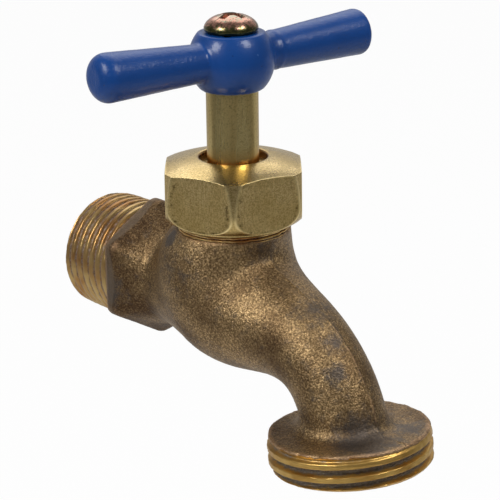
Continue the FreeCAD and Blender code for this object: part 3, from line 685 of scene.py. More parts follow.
def rounded(points, size=0.25):
    """Gives an outline of points with each corner cut by three short steps."""
    outline = [points[0]]
    for before, corner, after in zip(points, points[1:], points[2:]):
        corner = np.array(corner, dtype=float)
        back = np.array(before) - corner
        ahead = np.array(after) - corner
        cut_back = corner + back / np.linalg.norm(back) * min(size, np.linalg.norm(back) / 3)
        cut_ahead = corner + ahead / np.linalg.norm(ahead) * min(
            size, np.linalg.norm(ahead) / 3
        )
        middle = (cut_back + cut_ahead) / 4 + corner / 2
        outline += [tuple(cut_back), tuple(middle), tuple(cut_ahead)]
    outline.append(points[-1])
    return outline


def mark(mesh, name, values):
    """Stores one value for each point of a mesh, for its finish to read."""
    layer = mesh.attributes.new(name, "FLOAT", "POINT")
    layer.data.foreach_set("value", values)


def read_points(mesh):
    """Gives the places of a mesh's points in millimetres."""
    spots = np.empty(len(mesh.vertices) * 3)
    mesh.vertices.foreach_get("co", spots)
    return spots.reshape(-1, 3) / MM


def write_points(mesh, spots):
    """Moves a mesh's points to places in millimetres."""
    mesh.vertices.foreach_set("co", (spots * MM).ravel())
    mesh.update()


def neighbour_average(mesh):
    """Gives a function that turns each point's values into the average of those beside it."""
    count = len(mesh.vertices)
    ends = np.empty(len(mesh.edges) * 2, dtype=np.int64)
    mesh.edges.foreach_get("vertices", ends)
    first, second = ends.reshape(-1, 2).T
    degree = np.maximum(np.bincount(ends, minlength=count), 1)

    def average(values):
        total = np.bincount(first, values[second], count)
        return (total + np.bincount(second, values[first], count)) / degree

    return average


def mark_wear(mesh, rounds=5):
    """Marks how far each point stands out from those beside it, evened out a few times. Only
    edges that the hand can rub come out high."""
    average = neighbour_average(mesh)
    spots = read_points(mesh)
    normals = np.empty(len(mesh.vertices) * 3)
    mesh.vertices.foreach_get("normal", normals)
    middle = np.stack([average(spots[:, axis]) for axis in range(3)], axis=1)
    stand = np.einsum("ij,ij->i", spots - middle, normals.reshape(-1, 3))
    for _ in range(rounds):
        stand = (stand + average(stand)) / 2
    mark(mesh, "wear", stand)


def soften_joints(mesh, rounds=30):
    """Evens out the casting where the inlet tube runs into the globe, and where the spout
    leaves the neck."""
    average = neighbour_average(mesh)
    spots = read_points(mesh)
    at_tube = fade(abs(spots[:, 1] - GLOBE_EDGE), 2.4, 6.4)
    at_spout = fade(np.linalg.norm(spots - SPOUT_ROOT, axis=1), 3.6, 9.6)
    below_nut = fade(spots[:, 2], NECK_FOOT - 2.5, NECK_FOOT - 1.0)
    weight = np.maximum(at_tube, at_spout) * below_nut / 2
    for _ in range(rounds):
        for axis in range(3):
            spots[:, axis] += weight * (average(spots[:, axis]) - spots[:, axis])
    write_points(mesh, spots)


def place_at_stem(piece, turn=0):
    """Moves a piece that was made about the z axis to the stem's axis."""
    piece.data.transform(
        Matrix.Translation((0, -STEM_REACH * MM, 0)) @ Matrix.Rotation(math.radians(turn), 4, "Z")
    )
    return piece


# The thread's sizes, and how deep the plain band at its end lies, as a share of its depth.
BAND_SHARE = 0.27
THREAD_INPUTS = {
    "Radius": 10.0,
    "Bore": 5.0,
    "Length": 10.0,
    "Pitch": 2.0,
    "Depth": 1.0,
    "Taper": 0.0,
    "Crest share": 0.3,
    "Root share": 0.8,
    "Lead": 0.4,
    "Run-out": 0.01,
    "Unevenness": 0.03,
}


def screw_thread_tree():
    """Builds the tree for a threaded sleeve about the z axis. A grid is rolled round: its first
    and last rows are the bore, and the rows between follow the thread. Lengths are in mm."""
    tree = bpy.data.node_groups.new("screw_thread", "GeometryNodeTree")
    for name, value in THREAD_INPUTS.items():
        socket = tree.interface.new_socket(name, in_out="INPUT", socket_type="NodeSocketFloat")
        socket.default_value = value
    for name, value in (("Steps", 192), ("Rows", 96)):
        socket = tree.interface.new_socket(name, in_out="INPUT", socket_type="NodeSocketInt")
        socket.default_value = value
    tree.interface.new_socket("Finish", in_out="INPUT", socket_type="NodeSocketMaterial")
    tree.interface.new_socket("Mesh", in_out="OUTPUT", socket_type="NodeSocketGeometry")
    given = add_node(tree, "NodeGroupInput").outputs

    columns = add_node(tree, "ShaderNodeMath", [given["Steps"], 1.0], operation="ADD")
    grid = add_node(
        tree, "GeometryNodeMeshGrid",
        {"Size X": 1.0, "Size Y": 1.0, "Vertices X": columns, "Vertices Y": given["Rows"]},
    )
    spot = add_node(tree, "GeometryNodeInputPosition")
    parts = add_node(tree, "ShaderNodeSeparateXYZ", [spot])
    share = add_node(tree, "ShaderNodeMath", [parts.outputs["X"], 0.5], operation="ADD")
    rise = add_node(tree, "ShaderNodeMath", [parts.outputs["Y"], 0.5], operation="ADD")
    last = add_node(tree, "ShaderNodeMath", [given["Rows"], 1.0], operation="SUBTRACT")
    row = add_node(tree, "ShaderNodeMath", [rise, last], operation="MULTIPLY")
    far = add_node(tree, "ShaderNodeMath", [given["Rows"], 1.5], operation="SUBTRACT")
    far_bore = add_node(tree, "ShaderNodeMath", [given["Rows"], 2.5], operation="SUBTRACT")
    span = add_node(tree, "ShaderNodeMath", [given["Rows"], 4.0], operation="SUBTRACT")
    is_closing = add_node(tree, "ShaderNodeMath", [row, far], operation="GREATER_THAN")
    is_far_bore = add_node(tree, "ShaderNodeMath", [row, far_bore], operation="GREATER_THAN")
    is_near_bore = add_node(tree, "ShaderNodeMath", [row, 0.5], operation="LESS_THAN")
    is_bore = add_node(
        tree, "ShaderNodeMath", [is_far_bore, is_near_bore], operation="MAXIMUM"
    )
    first_row = add_node(tree, "ShaderNodeMath", [row, 1.0], operation="SUBTRACT")
    open_share = add_node(
        tree, "ShaderNodeMath", [first_row, span], operation="DIVIDE", use_clamp=True
    )
    kept = add_node(tree, "ShaderNodeMath", [1.0, is_closing], operation="SUBTRACT")
    along_share = add_node(tree, "ShaderNodeMath", [open_share, kept], operation="MULTIPLY")
    along = add_node(
        tree, "ShaderNodeMath", [along_share, given["Length"]], operation="MULTIPLY"
    )

    turns = add_node(tree, "ShaderNodeMath", [along, given["Pitch"]], operation="DIVIDE")
    phase = add_node(tree, "ShaderNodeMath", [turns, share], operation="SUBTRACT")
    wrapped = add_node(tree, "ShaderNodeMath", [phase], operation="FRACT")
    centred = add_node(tree, "ShaderNodeMath", [wrapped, 0.5], operation="SUBTRACT")
    distance = add_node(tree, "ShaderNodeMath", [centred], operation="ABSOLUTE")
    doubled = add_node(tree, "ShaderNodeMath", [distance, 2.0], operation="MULTIPLY")
    valley = add_node(
        tree, "ShaderNodeMapRange",
        {"Value": doubled, "From Min": given["Crest share"], "From Max": given["Root share"]},
        interpolation_type="SMOOTHSTEP",
    )
    # Where the tool runs out, the thread ends in a plain band.
    band_start = add_node(
        tree, "ShaderNodeMath", [given["Length"], given["Run-out"]], operation="SUBTRACT"
    )
    band = add_node(
        tree, "ShaderNodeMapRange",
        {"Value": along, "From Min": band_start, "From Max": given["Length"]},
    )
    ended = add_node(tree, "ShaderNodeMix", {"Factor": band, "A": valley, "B": BAND_SHARE})
    cut = add_node(tree, "ShaderNodeMath", [ended, given["Depth"]], operation="MULTIPLY")
    grown = add_node(
        tree, "ShaderNodeMath", [along, given["Taper"], given["Radius"]],
        operation="MULTIPLY_ADD",
    )
    threaded = add_node(tree, "ShaderNodeMath", [grown, cut], operation="SUBTRACT")
    root = add_node(
        tree, "ShaderNodeMath", [given["Radius"], given["Depth"]], operation="SUBTRACT"
    )
    lead_root = add_node(tree, "ShaderNodeMath", [root, given["Lead"]], operation="ADD")
    lead = add_node(tree, "ShaderNodeMath", [lead_root, along], operation="ADD")
    outside = add_node(tree, "ShaderNodeMath", [threaded, lead], operation="MINIMUM")
    radius = add_node(
        tree, "ShaderNodeMix", {"Factor": is_bore, "A": outside, "B": given["Bore"]}
    )

    angle = add_node(tree, "ShaderNodeMath", [share, FULL_TURN], operation="MULTIPLY")
    cosine = add_node(tree, "ShaderNodeMath", [angle], operation="COSINE")
    sine = add_node(tree, "ShaderNodeMath", [angle], operation="SINE")
    direction = add_node(tree, "ShaderNodeCombineXYZ", [cosine, sine, 0.0])
    flat = add_node(
        tree, "ShaderNodeVectorMath", {0: direction, "Scale": radius}, operation="SCALE"
    )
    height = add_node(tree, "ShaderNodeCombineXYZ", [0.0, 0.0, along])
    smooth_spot = add_node(tree, "ShaderNodeVectorMath", [flat, height], operation="ADD")
    wobble = add_node(
        tree, "ShaderNodeTexNoise", {"Vector": smooth_spot, "Scale": 0.9, "Detail": 3.0}
    )
    lean = add_node(tree, "ShaderNodeMath", [wobble, 0.5], operation="SUBTRACT")
    outer = add_node(tree, "ShaderNodeMath", [1.0, is_bore], operation="SUBTRACT")
    torn = add_node(
        tree, "ShaderNodeMath", [outer, given["Unevenness"]], operation="MULTIPLY"
    )
    uneven = add_node(tree, "ShaderNodeMath", [lean, torn], operation="MULTIPLY")
    shift = add_node(
        tree, "ShaderNodeVectorMath", {0: direction, "Scale": uneven}, operation="SCALE"
    )
    rough_spot = add_node(
        tree, "ShaderNodeVectorMath", [smooth_spot, shift], operation="ADD"
    )
    metres = add_node(
        tree, "ShaderNodeVectorMath", {0: rough_spot, "Scale": MM}, operation="SCALE"
    )

    marked = add_node(
        tree, "GeometryNodeStoreNamedAttribute",
        {"Geometry": grid, "Name": "valley", "Value": ended}, data_type="FLOAT",
    )
    rolled = add_node(
        tree, "GeometryNodeSetPosition", {"Geometry": marked, "Position": metres}
    )
    sewn = add_node(
        tree, "GeometryNodeMergeByDistance", {"Geometry": rolled, "Distance": SAME_POINT * MM}
    )
    real = add_node(tree, "GeometryNodeRealizeInstances", [sewn])
    finished = add_node(
        tree, "GeometryNodeSetMaterial", {"Geometry": real, "Material": given["Finish"]}
    )
    add_node(tree, "NodeGroupOutput", [finished])
    return tree


def run_tree(name, mesh, tree, values):
    """Runs a tree on an object and keeps the result as a plain mesh."""
    piece = new_object(name, mesh)
    modifier = piece.modifiers.new(tree.name, "NODES")
    modifier.node_group = tree
    for socket in tree.interface.items_tree:
        if socket.name in values:
            modifier[socket.identifier] = values[socket.name]
    return settle(piece)


def thread_piece(name, tree, place, material, sizes):
    """Makes one threaded sleeve and moves it to its place."""
    values = {**sizes, "Finish": material}
    piece = run_tree(name, bpy.data.meshes.new(name), tree, values)
    piece.data.transform(place)
    with editing(piece.data) as shell:
        bmesh.ops.recalc_face_normals(shell, faces=shell.faces)
    return piece


def casting_skin_tree():
    """Builds the tree that roughens a casting and raises its seam in the plane x = 0."""
    tree = bpy.data.node_groups.new("casting_skin", "GeometryNodeTree")
    tree.interface.new_socket("Mesh", in_out="INPUT", socket_type="NodeSocketGeometry")
    for name in ("Grain size", "Grain depth", "Swell depth", "Seam height", "Seam width"):
        tree.interface.new_socket(name, in_out="INPUT", socket_type="NodeSocketFloat")
    tree.interface.new_socket("Finish", in_out="INPUT", socket_type="NodeSocketMaterial")
    tree.interface.new_socket("Mesh", in_out="OUTPUT", socket_type="NodeSocketGeometry")
    given = add_node(tree, "NodeGroupInput").outputs

    spot = add_node(tree, "GeometryNodeInputPosition")
    millimetres = add_node(
        tree, "ShaderNodeVectorMath", {0: spot, "Scale": 1 / MM}, operation="SCALE"
    )
    often = add_node(tree, "ShaderNodeMath", [1.0, given["Grain size"]], operation="DIVIDE")
    grain = add_node(
        tree, "ShaderNodeTexNoise", {"Vector": millimetres, "Scale": often, "Detail": 3.0}
    )
    lean = add_node(tree, "ShaderNodeMath", [grain, 0.5], operation="SUBTRACT")
    rough = add_node(
        tree, "ShaderNodeMath", [lean, given["Grain depth"]], operation="MULTIPLY"
    )
    swell = add_node(
        tree, "ShaderNodeTexNoise", {"Vector": millimetres, "Scale": 1 / 9, "Detail": 1.0}
    )
    swell_lean = add_node(tree, "ShaderNodeMath", [swell, 0.65], operation="SUBTRACT")
    base = add_node(
        tree, "ShaderNodeMath", [swell_lean, given["Swell depth"], rough],
        operation="MULTIPLY_ADD",
    )

    parts = add_node(tree, "ShaderNodeSeparateXYZ", [millimetres])
    aside = add_node(tree, "ShaderNodeMath", [parts.outputs["X"]], operation="ABSOLUTE")
    nearness = add_node(
        tree, "ShaderNodeMapRange", [aside, 0.0, given["Seam width"], 1.0, 0.0]
    )
    # The seam is faint on the globe and the flange, and strong on the outside of the spout.
    low = add_node(
        tree, "ShaderNodeMapRange", [parts.outputs["Z"], 4.0, -8.0, 0.3, 1.0],
        interpolation_type="SMOOTHSTEP",
    )
    front = add_node(
        tree, "ShaderNodeMapRange", [parts.outputs["Y"], -38.0, -48.0, 0.0, 1.0],
        interpolation_type="SMOOTHSTEP",
    )
    seam_noise = add_node(
        tree, "ShaderNodeTexNoise", {"Vector": millimetres, "Scale": 1 / 3, "Detail": 2.0}
    )
    broken = add_node(tree, "ShaderNodeMapRange", [seam_noise, 0.35, 0.6, 0.45, 1.0])
    above_flange = add_node(
        tree, "ShaderNodeMapRange", [parts.outputs["Z"], -12.5, -14.5, 1.0, 0.25]
    )
    outside = add_node(tree, "ShaderNodeMath", [low, front], operation="MULTIPLY")
    strength = add_node(tree, "ShaderNodeMath", [outside, above_flange], operation="MULTIPLY")
    uneven = add_node(tree, "ShaderNodeMath", [strength, broken], operation="MULTIPLY")
    peak = add_node(
        tree, "ShaderNodeMath", [uneven, given["Seam height"]], operation="MULTIPLY"
    )
    lift = add_node(tree, "ShaderNodeMath", [nearness, peak, base], operation="MULTIPLY_ADD")
    metres = add_node(tree, "ShaderNodeMath", [lift, MM], operation="MULTIPLY")
    normal = add_node(tree, "GeometryNodeInputNormal")
    offset = add_node(
        tree, "ShaderNodeVectorMath", {0: normal, "Scale": metres}, operation="SCALE"
    )
    moved = add_node(
        tree, "GeometryNodeSetPosition", {"Geometry": given["Mesh"], "Offset": offset}
    )
    real = add_node(tree, "GeometryNodeRealizeInstances", [moved])
    finished = add_node(
        tree, "GeometryNodeSetMaterial", {"Geometry": real, "Material": given["Finish"]}
    )
    add_node(tree, "NodeGroupOutput", [finished])
    return tree


def remeshed(piece, voxel, rounds):
    """Remeshes an object into even small faces, and softens them a few times."""
    modifier = piece.modifiers.new("remesh", "REMESH")
    modifier.mode = "VOXEL"
    modifier.voxel_size = voxel * MM
    smooth = piece.modifiers.new("soften", "SMOOTH")
    smooth.factor = 0.5
    smooth.iterations = rounds
    return settle(piece)


def cutter(name, low, high, place):
    """Makes a helper cylinder that cuts a machined end off the casting."""
    outline = [(0, low), (CUT_REACH, low), (CUT_REACH, high), (0, high)]
    piece = skin(name, [ring(radius, height, HELPER_STEPS) for radius, height in outline])
    piece.data.transform(place)
    return piece


def collar_frame():
    """Gives the collar's own frame: its origin on the flange and z up its leaning axis."""
    return Matrix.Translation(Vector(COLLAR_PLACE) * MM) @ Matrix.Rotation(
        math.radians(-COLLAR_TILT), 4, "X"
    )


def tube_flare():
    """Makes the ring of metal that fills the corner where the inlet tube runs into the globe.
    The globe reaches further back above than below, so the ring leans."""
    outline = [
        (share, TUBE_RADIUS - 0.1 + FLARE_RISE * share ** FLARE_CURVE)
        for share in np.linspace(0, 1, 10)
    ]
    rings = []
    for share, radius in outline + [(1, TUBE_RADIUS - 1.0), (0, TUBE_RADIUS - 1.0)]:
        circle = ring(radius, 0, FLARE_STEPS)
        circle[:, 2] = TUBE_FRONT + share * (FLARE_LEAN * circle[:, 1] - FLARE_REACH)
        rings.append(circle[:, [0, 2, 1]])
    return skin("tube_flare", rings, loop=True)


def cast_body(material, tree):
    """The casting without its machined ends, with its grain and its seam."""
    piece = new_object("cast_body", merged_copy("valve_body"))
    inlet_place = Matrix.Rotation(math.radians(-90), 4, "X")
    stem_place = Matrix.Translation((0, -STEM_REACH * MM, 0))
    cutters = [
        cutter("inlet_cutter", PLATE_BACK, CUT_REACH, inlet_place),
        cutter("collar_cutter", -CUT_REACH, -COLLAR_RIM, collar_frame()),
        cutter("neck_cutter", NECK_FOOT, NECK_FOOT + CUT_REACH, stem_place),
    ]
    for helper in cutters:
        modifier = piece.modifiers.new(helper.name, "BOOLEAN")
        modifier.operation = "DIFFERENCE"
        modifier.object = helper
    settle(piece)
    for helper in cutters:
        remove_object(helper)
    flare = tube_flare()
    with editing(piece.data) as shell:
        shell.from_mesh(flare.data)
    remove_object(flare)
    remeshed(piece, CASTING_VOXEL, 2)
    mesh = piece.data
    bpy.data.objects.remove(piece)
    soften_joints(mesh)
    with editing(mesh) as shell:
        for aside in SEAM_ROWS:
            bmesh.ops.bisect_plane(
                shell, geom=shell.verts[:] + shell.edges[:] + shell.faces[:],
                plane_co=(aside * MM, 0, 0), plane_no=(1, 0, 0), dist=0.01 * MM,
            )
    piece = run_tree("cast_body", mesh, tree, {
        "Grain size": 0.9,
        "Grain depth": 0.09,
        "Swell depth": SWELL_DEPTH,
        "Seam height": SEAM_HEIGHT,
        "Seam width": SEAM_WIDTH,
        "Finish": material,
    })
    mark_wear(piece.data)
    return piece


def hex_limit(angles):
    """Gives how far the nut's flats let a point stand out at each angle."""
    sector = FULL_TURN / 6
    from_flat = (angles + sector / 2) % sector - sector / 2
    return NUT_HALF / np.cos(from_flat)


def nut_outline():
    """Gives the blank that the nut is milled from, from its foot to its hole: a foot that
    follows an ellipse, a side that leans in more and more, and a dome."""
    foot_height = NUT_FOOT + NUT_FOOT_STEP
    outline = [
        (NECK_RADIUS + 0.1, NUT_FOOT),
        (NUT_FOOT_RADIUS - 0.2, NUT_FOOT),
        (NUT_FOOT_RADIUS - 0.05, NUT_FOOT + 0.08),
    ]
    for angle in np.linspace(0, math.pi / 2, 30):
        outline.append((
            NUT_FOOT_RADIUS + (NUT_BLANK - NUT_FOOT_RADIUS) * math.sin(angle),
            NUT_WAIST - (NUT_WAIST - foot_height) * math.cos(angle),
        ))
    for share in np.linspace(0, 1, 30)[1:]:
        outline.append((
            NUT_BLANK - (NUT_BLANK - NUT_SHOULDER_RADIUS) * share ** NUT_SHOULDER_CURVE,
            NUT_WAIST + (NUT_SHOULDER - NUT_WAIST) * share,
        ))
    hole_edge = NUT_HOLE + NUT_HOLE_ROUNDING
    rim = np.linspace(NUT_SHOULDER_RADIUS - 0.04, NUT_HALF - 0.3, 30)
    for radius in (*rim, *np.linspace(NUT_HALF - 0.3, hole_edge, 24)[1:]):
        fall = ((radius - hole_edge) / (NUT_HALF - hole_edge)) ** NUT_DOME_CURVE
        outline.append((radius, NUT_TOP - NUT_DOME_RISE * fall))
    outline.append((NUT_HOLE + 0.1, NUT_TOP - 0.1))
    return outline


def hex_nut(material):
    """The packing nut: a turned blank with a domed top, milled to a hexagon. Its points are
    marked where a flat ends, for rubbed edges and a painted highlight, where soil has gathered
    beside that edge, and where it is brown with dirt and painted shade."""
    angles = np.arange(NUT_STEPS) * FULL_TURN / NUT_STEPS
    limit = hex_limit(angles)
    border_width = 0.13
    border_height = 0.06
    soil_width = 0.18
    rings = []
    marks = {"border": [], "soil": [], "grime_and_shade": []}
    for radius, height in nut_outline():
        share = fade(radius - limit, -MILLING_SOFTNESS, MILLING_SOFTNESS)
        milled = limit * (1 - share) + radius * share - MILLING_SOFTNESS * share * (1 - share)
        # The border mark paints each flat's edge light, for rubbed brass and a painted highlight.
        border = np.exp(-((limit - radius - 0.05) / border_width) ** 2)
        # Under the foot and round the hole the nut is marked brown, for dirt and painted shade.
        is_grime_and_shade = height < NUT_FOOT + 0.02 or radius < NUT_HOLE + 0.2
        rings.append(ring(milled + border_height * border, height, NUT_STEPS))
        marks["border"].append(border)
        marks["soil"].append(np.exp(-((radius - limit - 0.25) / soil_width) ** 2))
        marks["grime_and_shade"].append(np.full(NUT_STEPS, float(is_grime_and_shade)))
    # The hole's inside is all marked brown, for dirt and painted shade.
    for radius, height in (
        (NUT_HOLE, NUT_TOP - 0.35),
        (NUT_HOLE, NUT_LIP_FOOT),
        (PACKING_BORE, NUT_LIP_FOOT),
        (PACKING_BORE, NECK_TOP + 0.07),
        (NECK_RADIUS + 0.1, NECK_TOP + 0.07),
    ):
        rings.append(ring(radius, height, NUT_STEPS))
        marks["border"].append(np.zeros(NUT_STEPS))
        marks["soil"].append(np.zeros(NUT_STEPS))
        marks["grime_and_shade"].append(np.ones(NUT_STEPS))
    piece = skin("hex_nut", rings, loop=True)
    for name, values in marks.items():
        mark(piece.data, name, np.concatenate(values))
    place_at_stem(piece, NUT_TURN)
    return dress(piece, material, "body", "nut_brass", ["packing_nut"], 50)


def square_limit(steps):
    """Gives how far the four flats of the stem's square let a point stand out."""
    angles = np.arange(steps) * FULL_TURN / steps
    return SQUARE_HALF / np.maximum(abs(np.cos(angles)), abs(np.sin(angles)))


def turned_stem(material):
    """The stem: a turned rod with a collar at its foot, a bore for the disc's pin and a
    square for the handle."""
    steps = ROUND_STEPS
    rod = rounded([
        (0, PIN_BORE_TOP),
        (PIN_BORE, PIN_BORE_TOP),
        (PIN_BORE, STEM_FOOT),
        (STEM_THREAD_RADIUS - 1.0, STEM_FOOT),
        (STEM_THREAD_RADIUS - 1.0, STEM_THREAD_TOP - 0.6),
        (STEM_RADIUS, STEM_THREAD_TOP),
        (STEM_RADIUS, STEM_SHOULDER),
        (STEM_RADIUS - 0.6, STEM_SHOULDER),
    ], 0.15)
    rings = [ring(radius, height, steps) for radius, height in rod]
    square = np.minimum(square_limit(steps), STEM_RADIUS - 0.09)
    rings += [
        ring(square, STEM_SHOULDER, steps),
        ring(square, SQUARE_TOP - 0.2, steps),
        ring(square - 0.2, SQUARE_TOP, steps),
        ring(SCREW_HOLE, SQUARE_TOP, steps),
        ring(SCREW_HOLE, SCREW_HOLE_FOOT, steps),
        ring(0, SCREW_HOLE_FOOT, steps),
    ]
    piece = place_at_stem(skin("turned_stem", rings), HANDLE_TURN)
    return dress(piece, material, "stem", "stem_brass", ["stem"], 50)


def raise_flash(mesh):
    """Raises the ridge that the mould left round the root of the handle's right arm."""
    spots = read_points(mesh) - (0, -STEM_REACH, ARM_HEIGHT)
    turn = math.radians(HANDLE_TURN)
    arm = np.array([math.cos(turn), math.sin(turn), 0])
    along = spots @ arm
    outward = spots - along[:, None] * arm
    outward /= np.maximum(np.linalg.norm(outward, axis=1), 0.1)[:, None]
    lift = FLASH_HEIGHT * fade(abs(along - FLASH_PLACE), 0, FLASH_WIDTH)
    spots += outward * lift[:, None] + (0, -STEM_REACH, ARM_HEIGHT)
    write_points(mesh, spots)


def tee_handle(material, tree):
    """The handle: the ball and its two flared arms, softened by the coat of enamel."""
    piece = new_object("tee_handle", merged_copy("handle"))
    remeshed(piece, HANDLE_VOXEL, 2)
    mesh = piece.data
    raise_flash(mesh)
    bpy.data.objects.remove(piece)
    piece = run_tree("tee_handle", mesh, tree, {
        "Grain size": 2.6,
        "Grain depth": 0.08,
        "Swell depth": SWELL_DEPTH,
        "Seam height": 0.0,
        "Seam width": 1.0,
        "Finish": material,
    })
    return dress(piece, material, "stem", "blue_enamel", ["handle"])


def recess_depth(x, y):
    """Gives the depth of the cross recess at points of the screw's head. Its walls lean, and its
    floor rises from the middle towards the rim."""
    arms = np.minimum(
        np.maximum(abs(x) - RECESS_REACH, abs(y) - RECESS_HALF),
        np.maximum(abs(y) - RECESS_REACH, abs(x) - RECESS_HALF),
    )
    outside = np.minimum(arms, abs(x) + abs(y) - RECESS_CORNER)
    inside = fade(outside, -0.7 * RECESS_WALL, 0.3 * RECESS_WALL)
    return RECESS_DEPTH * inside ** 0.7 * fade(np.hypot(x, y), RECESS_FULL, RECESS_NONE)


def dome_screw(material):
    """The handle's screw: a round head with a cross recess on a plain shank."""
    steps = SCREW_STEPS
    rise = SCREW_HEIGHT - SCREW_RIM
    end = math.radians(SCREW_EDGE)
    rings = []
    for angle in np.linspace(0, end, 80):
        radius = SCREW_RADIUS * math.sin(angle) / math.sin(end)
        height = HUB_TOP + SCREW_RIM + rise * math.cos(angle)
        circle = ring(radius, height, steps)
        circle[:, 2] -= recess_depth(circle[:, 0], circle[:, 1])
        rings.append(circle)
    for radius, height in (
        (SCREW_RADIUS, HUB_TOP + SCREW_RIM + 0.05),
        (SCREW_RADIUS - 0.1, HUB_TOP + 0.25),
        (SCREW_RADIUS - 0.35, HUB_TOP + 0.02),
        (SCREW_SHANK, HUB_TOP + 0.02),
        (SCREW_SHANK, SCREW_FOOT),
        (0.0, SCREW_FOOT),
    ):
        rings.append(ring(radius, height, steps))
    piece = place_at_stem(skin("dome_screw", rings), HANDLE_TURN + SCREW_TURN)
    return dress(piece, material, "stem", "screw_plating", ["handle_screw"], 50)


def assemble():
    """Makes every piece and gives the nodes inside their finishes."""
    bronze = sand_cast_bronze()
    brass = milled_brass()
    rod_brass = turned_brass()
    enamel = blue_enamel()
    die_cut = thread_cut_bronze("die_cut_bronze", "#c1a36c", "#9c6a39", "#7b5f49")
    lathe_cut = thread_cut_bronze("lathe_cut_bronze", "#d2ac62", "#b28845", "#867b6e")
    torn = thread_cut_bronze("torn_bronze", "#e3c384", "#a5672f", "#7a4e27")
    casting_tree = casting_skin_tree()
    thread_tree = screw_thread_tree()

    body = cast_body(bronze, casting_tree)
    dress(body, bronze, "body", "cast_bronze", ["valve_body"], 60)

    stem_place = Matrix.Translation((0, -STEM_REACH * MM, 0))
    upside_down = Matrix.Rotation(math.pi, 4, "X")
    hose_start = Matrix.Rotation(math.radians(HOSE_TURN), 4, "Z")
    threads = [
        ("inlet_thread", "body", "cast_bronze", die_cut,
         Matrix.Rotation(math.radians(90), 4, "X"),
         {"Radius": INLET_RADIUS, "Bore": INLET_BORE, "Length": INLET_LENGTH,
          "Pitch": INLET_PITCH, "Depth": INLET_DEPTH, "Taper": INLET_TAPER,
          "Crest share": 0.25, "Root share": 0.95, "Lead": 0.6, "Unevenness": 0.25,
          "Steps": 192, "Rows": 112}),
        ("hose_thread", "body", "cast_bronze", lathe_cut,
         collar_frame() @ Matrix.Translation((0, 0, -COLLAR_DEPTH * MM)) @ hose_start,
         {"Radius": HOSE_RADIUS, "Bore": HOSE_BORE, "Length": COLLAR_DEPTH - COLLAR_RIM + 0.2,
          "Pitch": HOSE_PITCH, "Depth": HOSE_DEPTH, "Crest share": 0.32, "Root share": 0.8,
          "Lead": 0.5, "Run-out": 1.2, "Unevenness": 0.25, "Steps": 256, "Rows": 80}),
        ("neck_ring", "body", "cast_bronze", torn,
         stem_place @ Matrix.Translation((0, 0, NECK_RING_TOP * MM)) @ upside_down,
         {"Radius": NECK_RING_RADIUS, "Bore": STEM_BORE, "Length": 1.4, "Pitch": 0.5,
          "Depth": 0.25, "Lead": 0.1, "Unevenness": 0.65, "Steps": 192, "Rows": 40}),
        ("neck_thread", "body", "cast_bronze", die_cut,
         stem_place @ Matrix.Translation((0, 0, NECK_TOP * MM)) @ upside_down,
         {"Radius": NECK_RADIUS, "Bore": STEM_BORE, "Length": NECK_TOP - NECK_RING_TOP + 0.2,
          "Pitch": 1.27, "Depth": 0.6, "Lead": 0.2, "Steps": 160, "Rows": 48}),
        ("stem_thread", "stem", "stem_brass", rod_brass,
         stem_place @ Matrix.Translation((0, 0, STEM_FOOT * MM)),
         {"Radius": STEM_THREAD_RADIUS, "Bore": STEM_RADIUS,
          "Length": STEM_THREAD_TOP - STEM_FOOT - 0.7, "Pitch": 2.0, "Depth": 0.9,
          "Lead": 0.3, "Steps": 160, "Rows": 56}),
    ]
    for name, rider, slot, material, place, sizes in threads:
        piece = thread_piece(name, thread_tree, place, material, sizes)
        dress(piece, material, rider, slot)

    hex_nut(brass)
    turned_stem(rod_brass)
    tee_handle(enamel, casting_tree)
    dome_screw(yellow_passivated_zinc())

    # The packing is a dull grey cord, the washer dull black rubber and the clip bright wire.
    graphite = hidden_finish("graphited_cord", "#17181a", "#3a3b3d", 0.6, roughness=0.7)
    rubber = hidden_finish("moulded_rubber", "#121212", "#262626", 0.3, roughness=0.6)
    spring = hidden_finish(
        "drawn_spring_steel", "#8f9193", "#b9bbbd", 0.4, roughness=0.3, metallic=1.0
    )
    inside = {
        "packing_washer": brass,
        "gland": brass,
        "packing_ring_lower": graphite,
        "packing_ring_upper": graphite,
        "disc_holder": rod_brass,
        "bibb_screw": rod_brass,
        "seat_washer": rubber,
        "swivel_clip": spring,
    }
    for node, material in inside.items():
        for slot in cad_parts[node].material_slots:
            slot.material = material


# The camera stands where the photograph was taken from, about 300 mm away.
CAMERA_RIGHT = Vector((0.7435117, -0.6686070, -0.0124509))
CAMERA_UP = Vector((0.2258702, 0.2335628, 0.9457436))
CAMERA_BACK = Vector((-0.6294228, -0.7059837, 0.3246751))
CAMERA_PLACE = Vector((-185.38958, -246.03286, 104.56778))
CAMERA_LENS = 126.92
SUBJECT = Vector((0.0, -37.0, 10.0))

# The light of the room, and the level direction in which the white backdrop stands.
ROOM_LIGHT = 0.17
BACKDROP_SHARE = 0.42
BEHIND = Vector((0.665, 0.747, 0.0))

# The floor's half width and height, in metres.
FLOOR_HALF = 4.0
FLOOR_HEIGHT = -0.2

# The lamps: the direction of each is right, up and back of the camera's first place, and then
# come its distance and width in metres and its power in watts.
LAMPS = {
    "left_softbox": ((-0.61, 0.45, 0.65), 0.6, 0.22, 2.1),
    "right_softbox": ((0.556, 0.588, 0.588), 0.6, 0.2, 1.6),
    "top_softbox": ((0.0, 0.9, -0.35), 0.8, 0.7, 2.1),
}


def add_camera():
    """Adds the photograph's camera."""
    lens = bpy.data.cameras.new("camera")
    lens.lens = CAMERA_LENS
    lens.sensor_width = 36
    lens.clip_start = 0.01
    lens.clip_end = 20
    camera = bpy.data.objects.new("camera", lens)
    turned = Matrix((CAMERA_RIGHT, CAMERA_UP, CAMERA_BACK)).transposed().to_4x4()
    camera.matrix_world = Matrix.Translation(CAMERA_PLACE * MM) @ turned
    bpy.context.scene.collection.objects.link(camera)
    bpy.context.scene.camera = camera


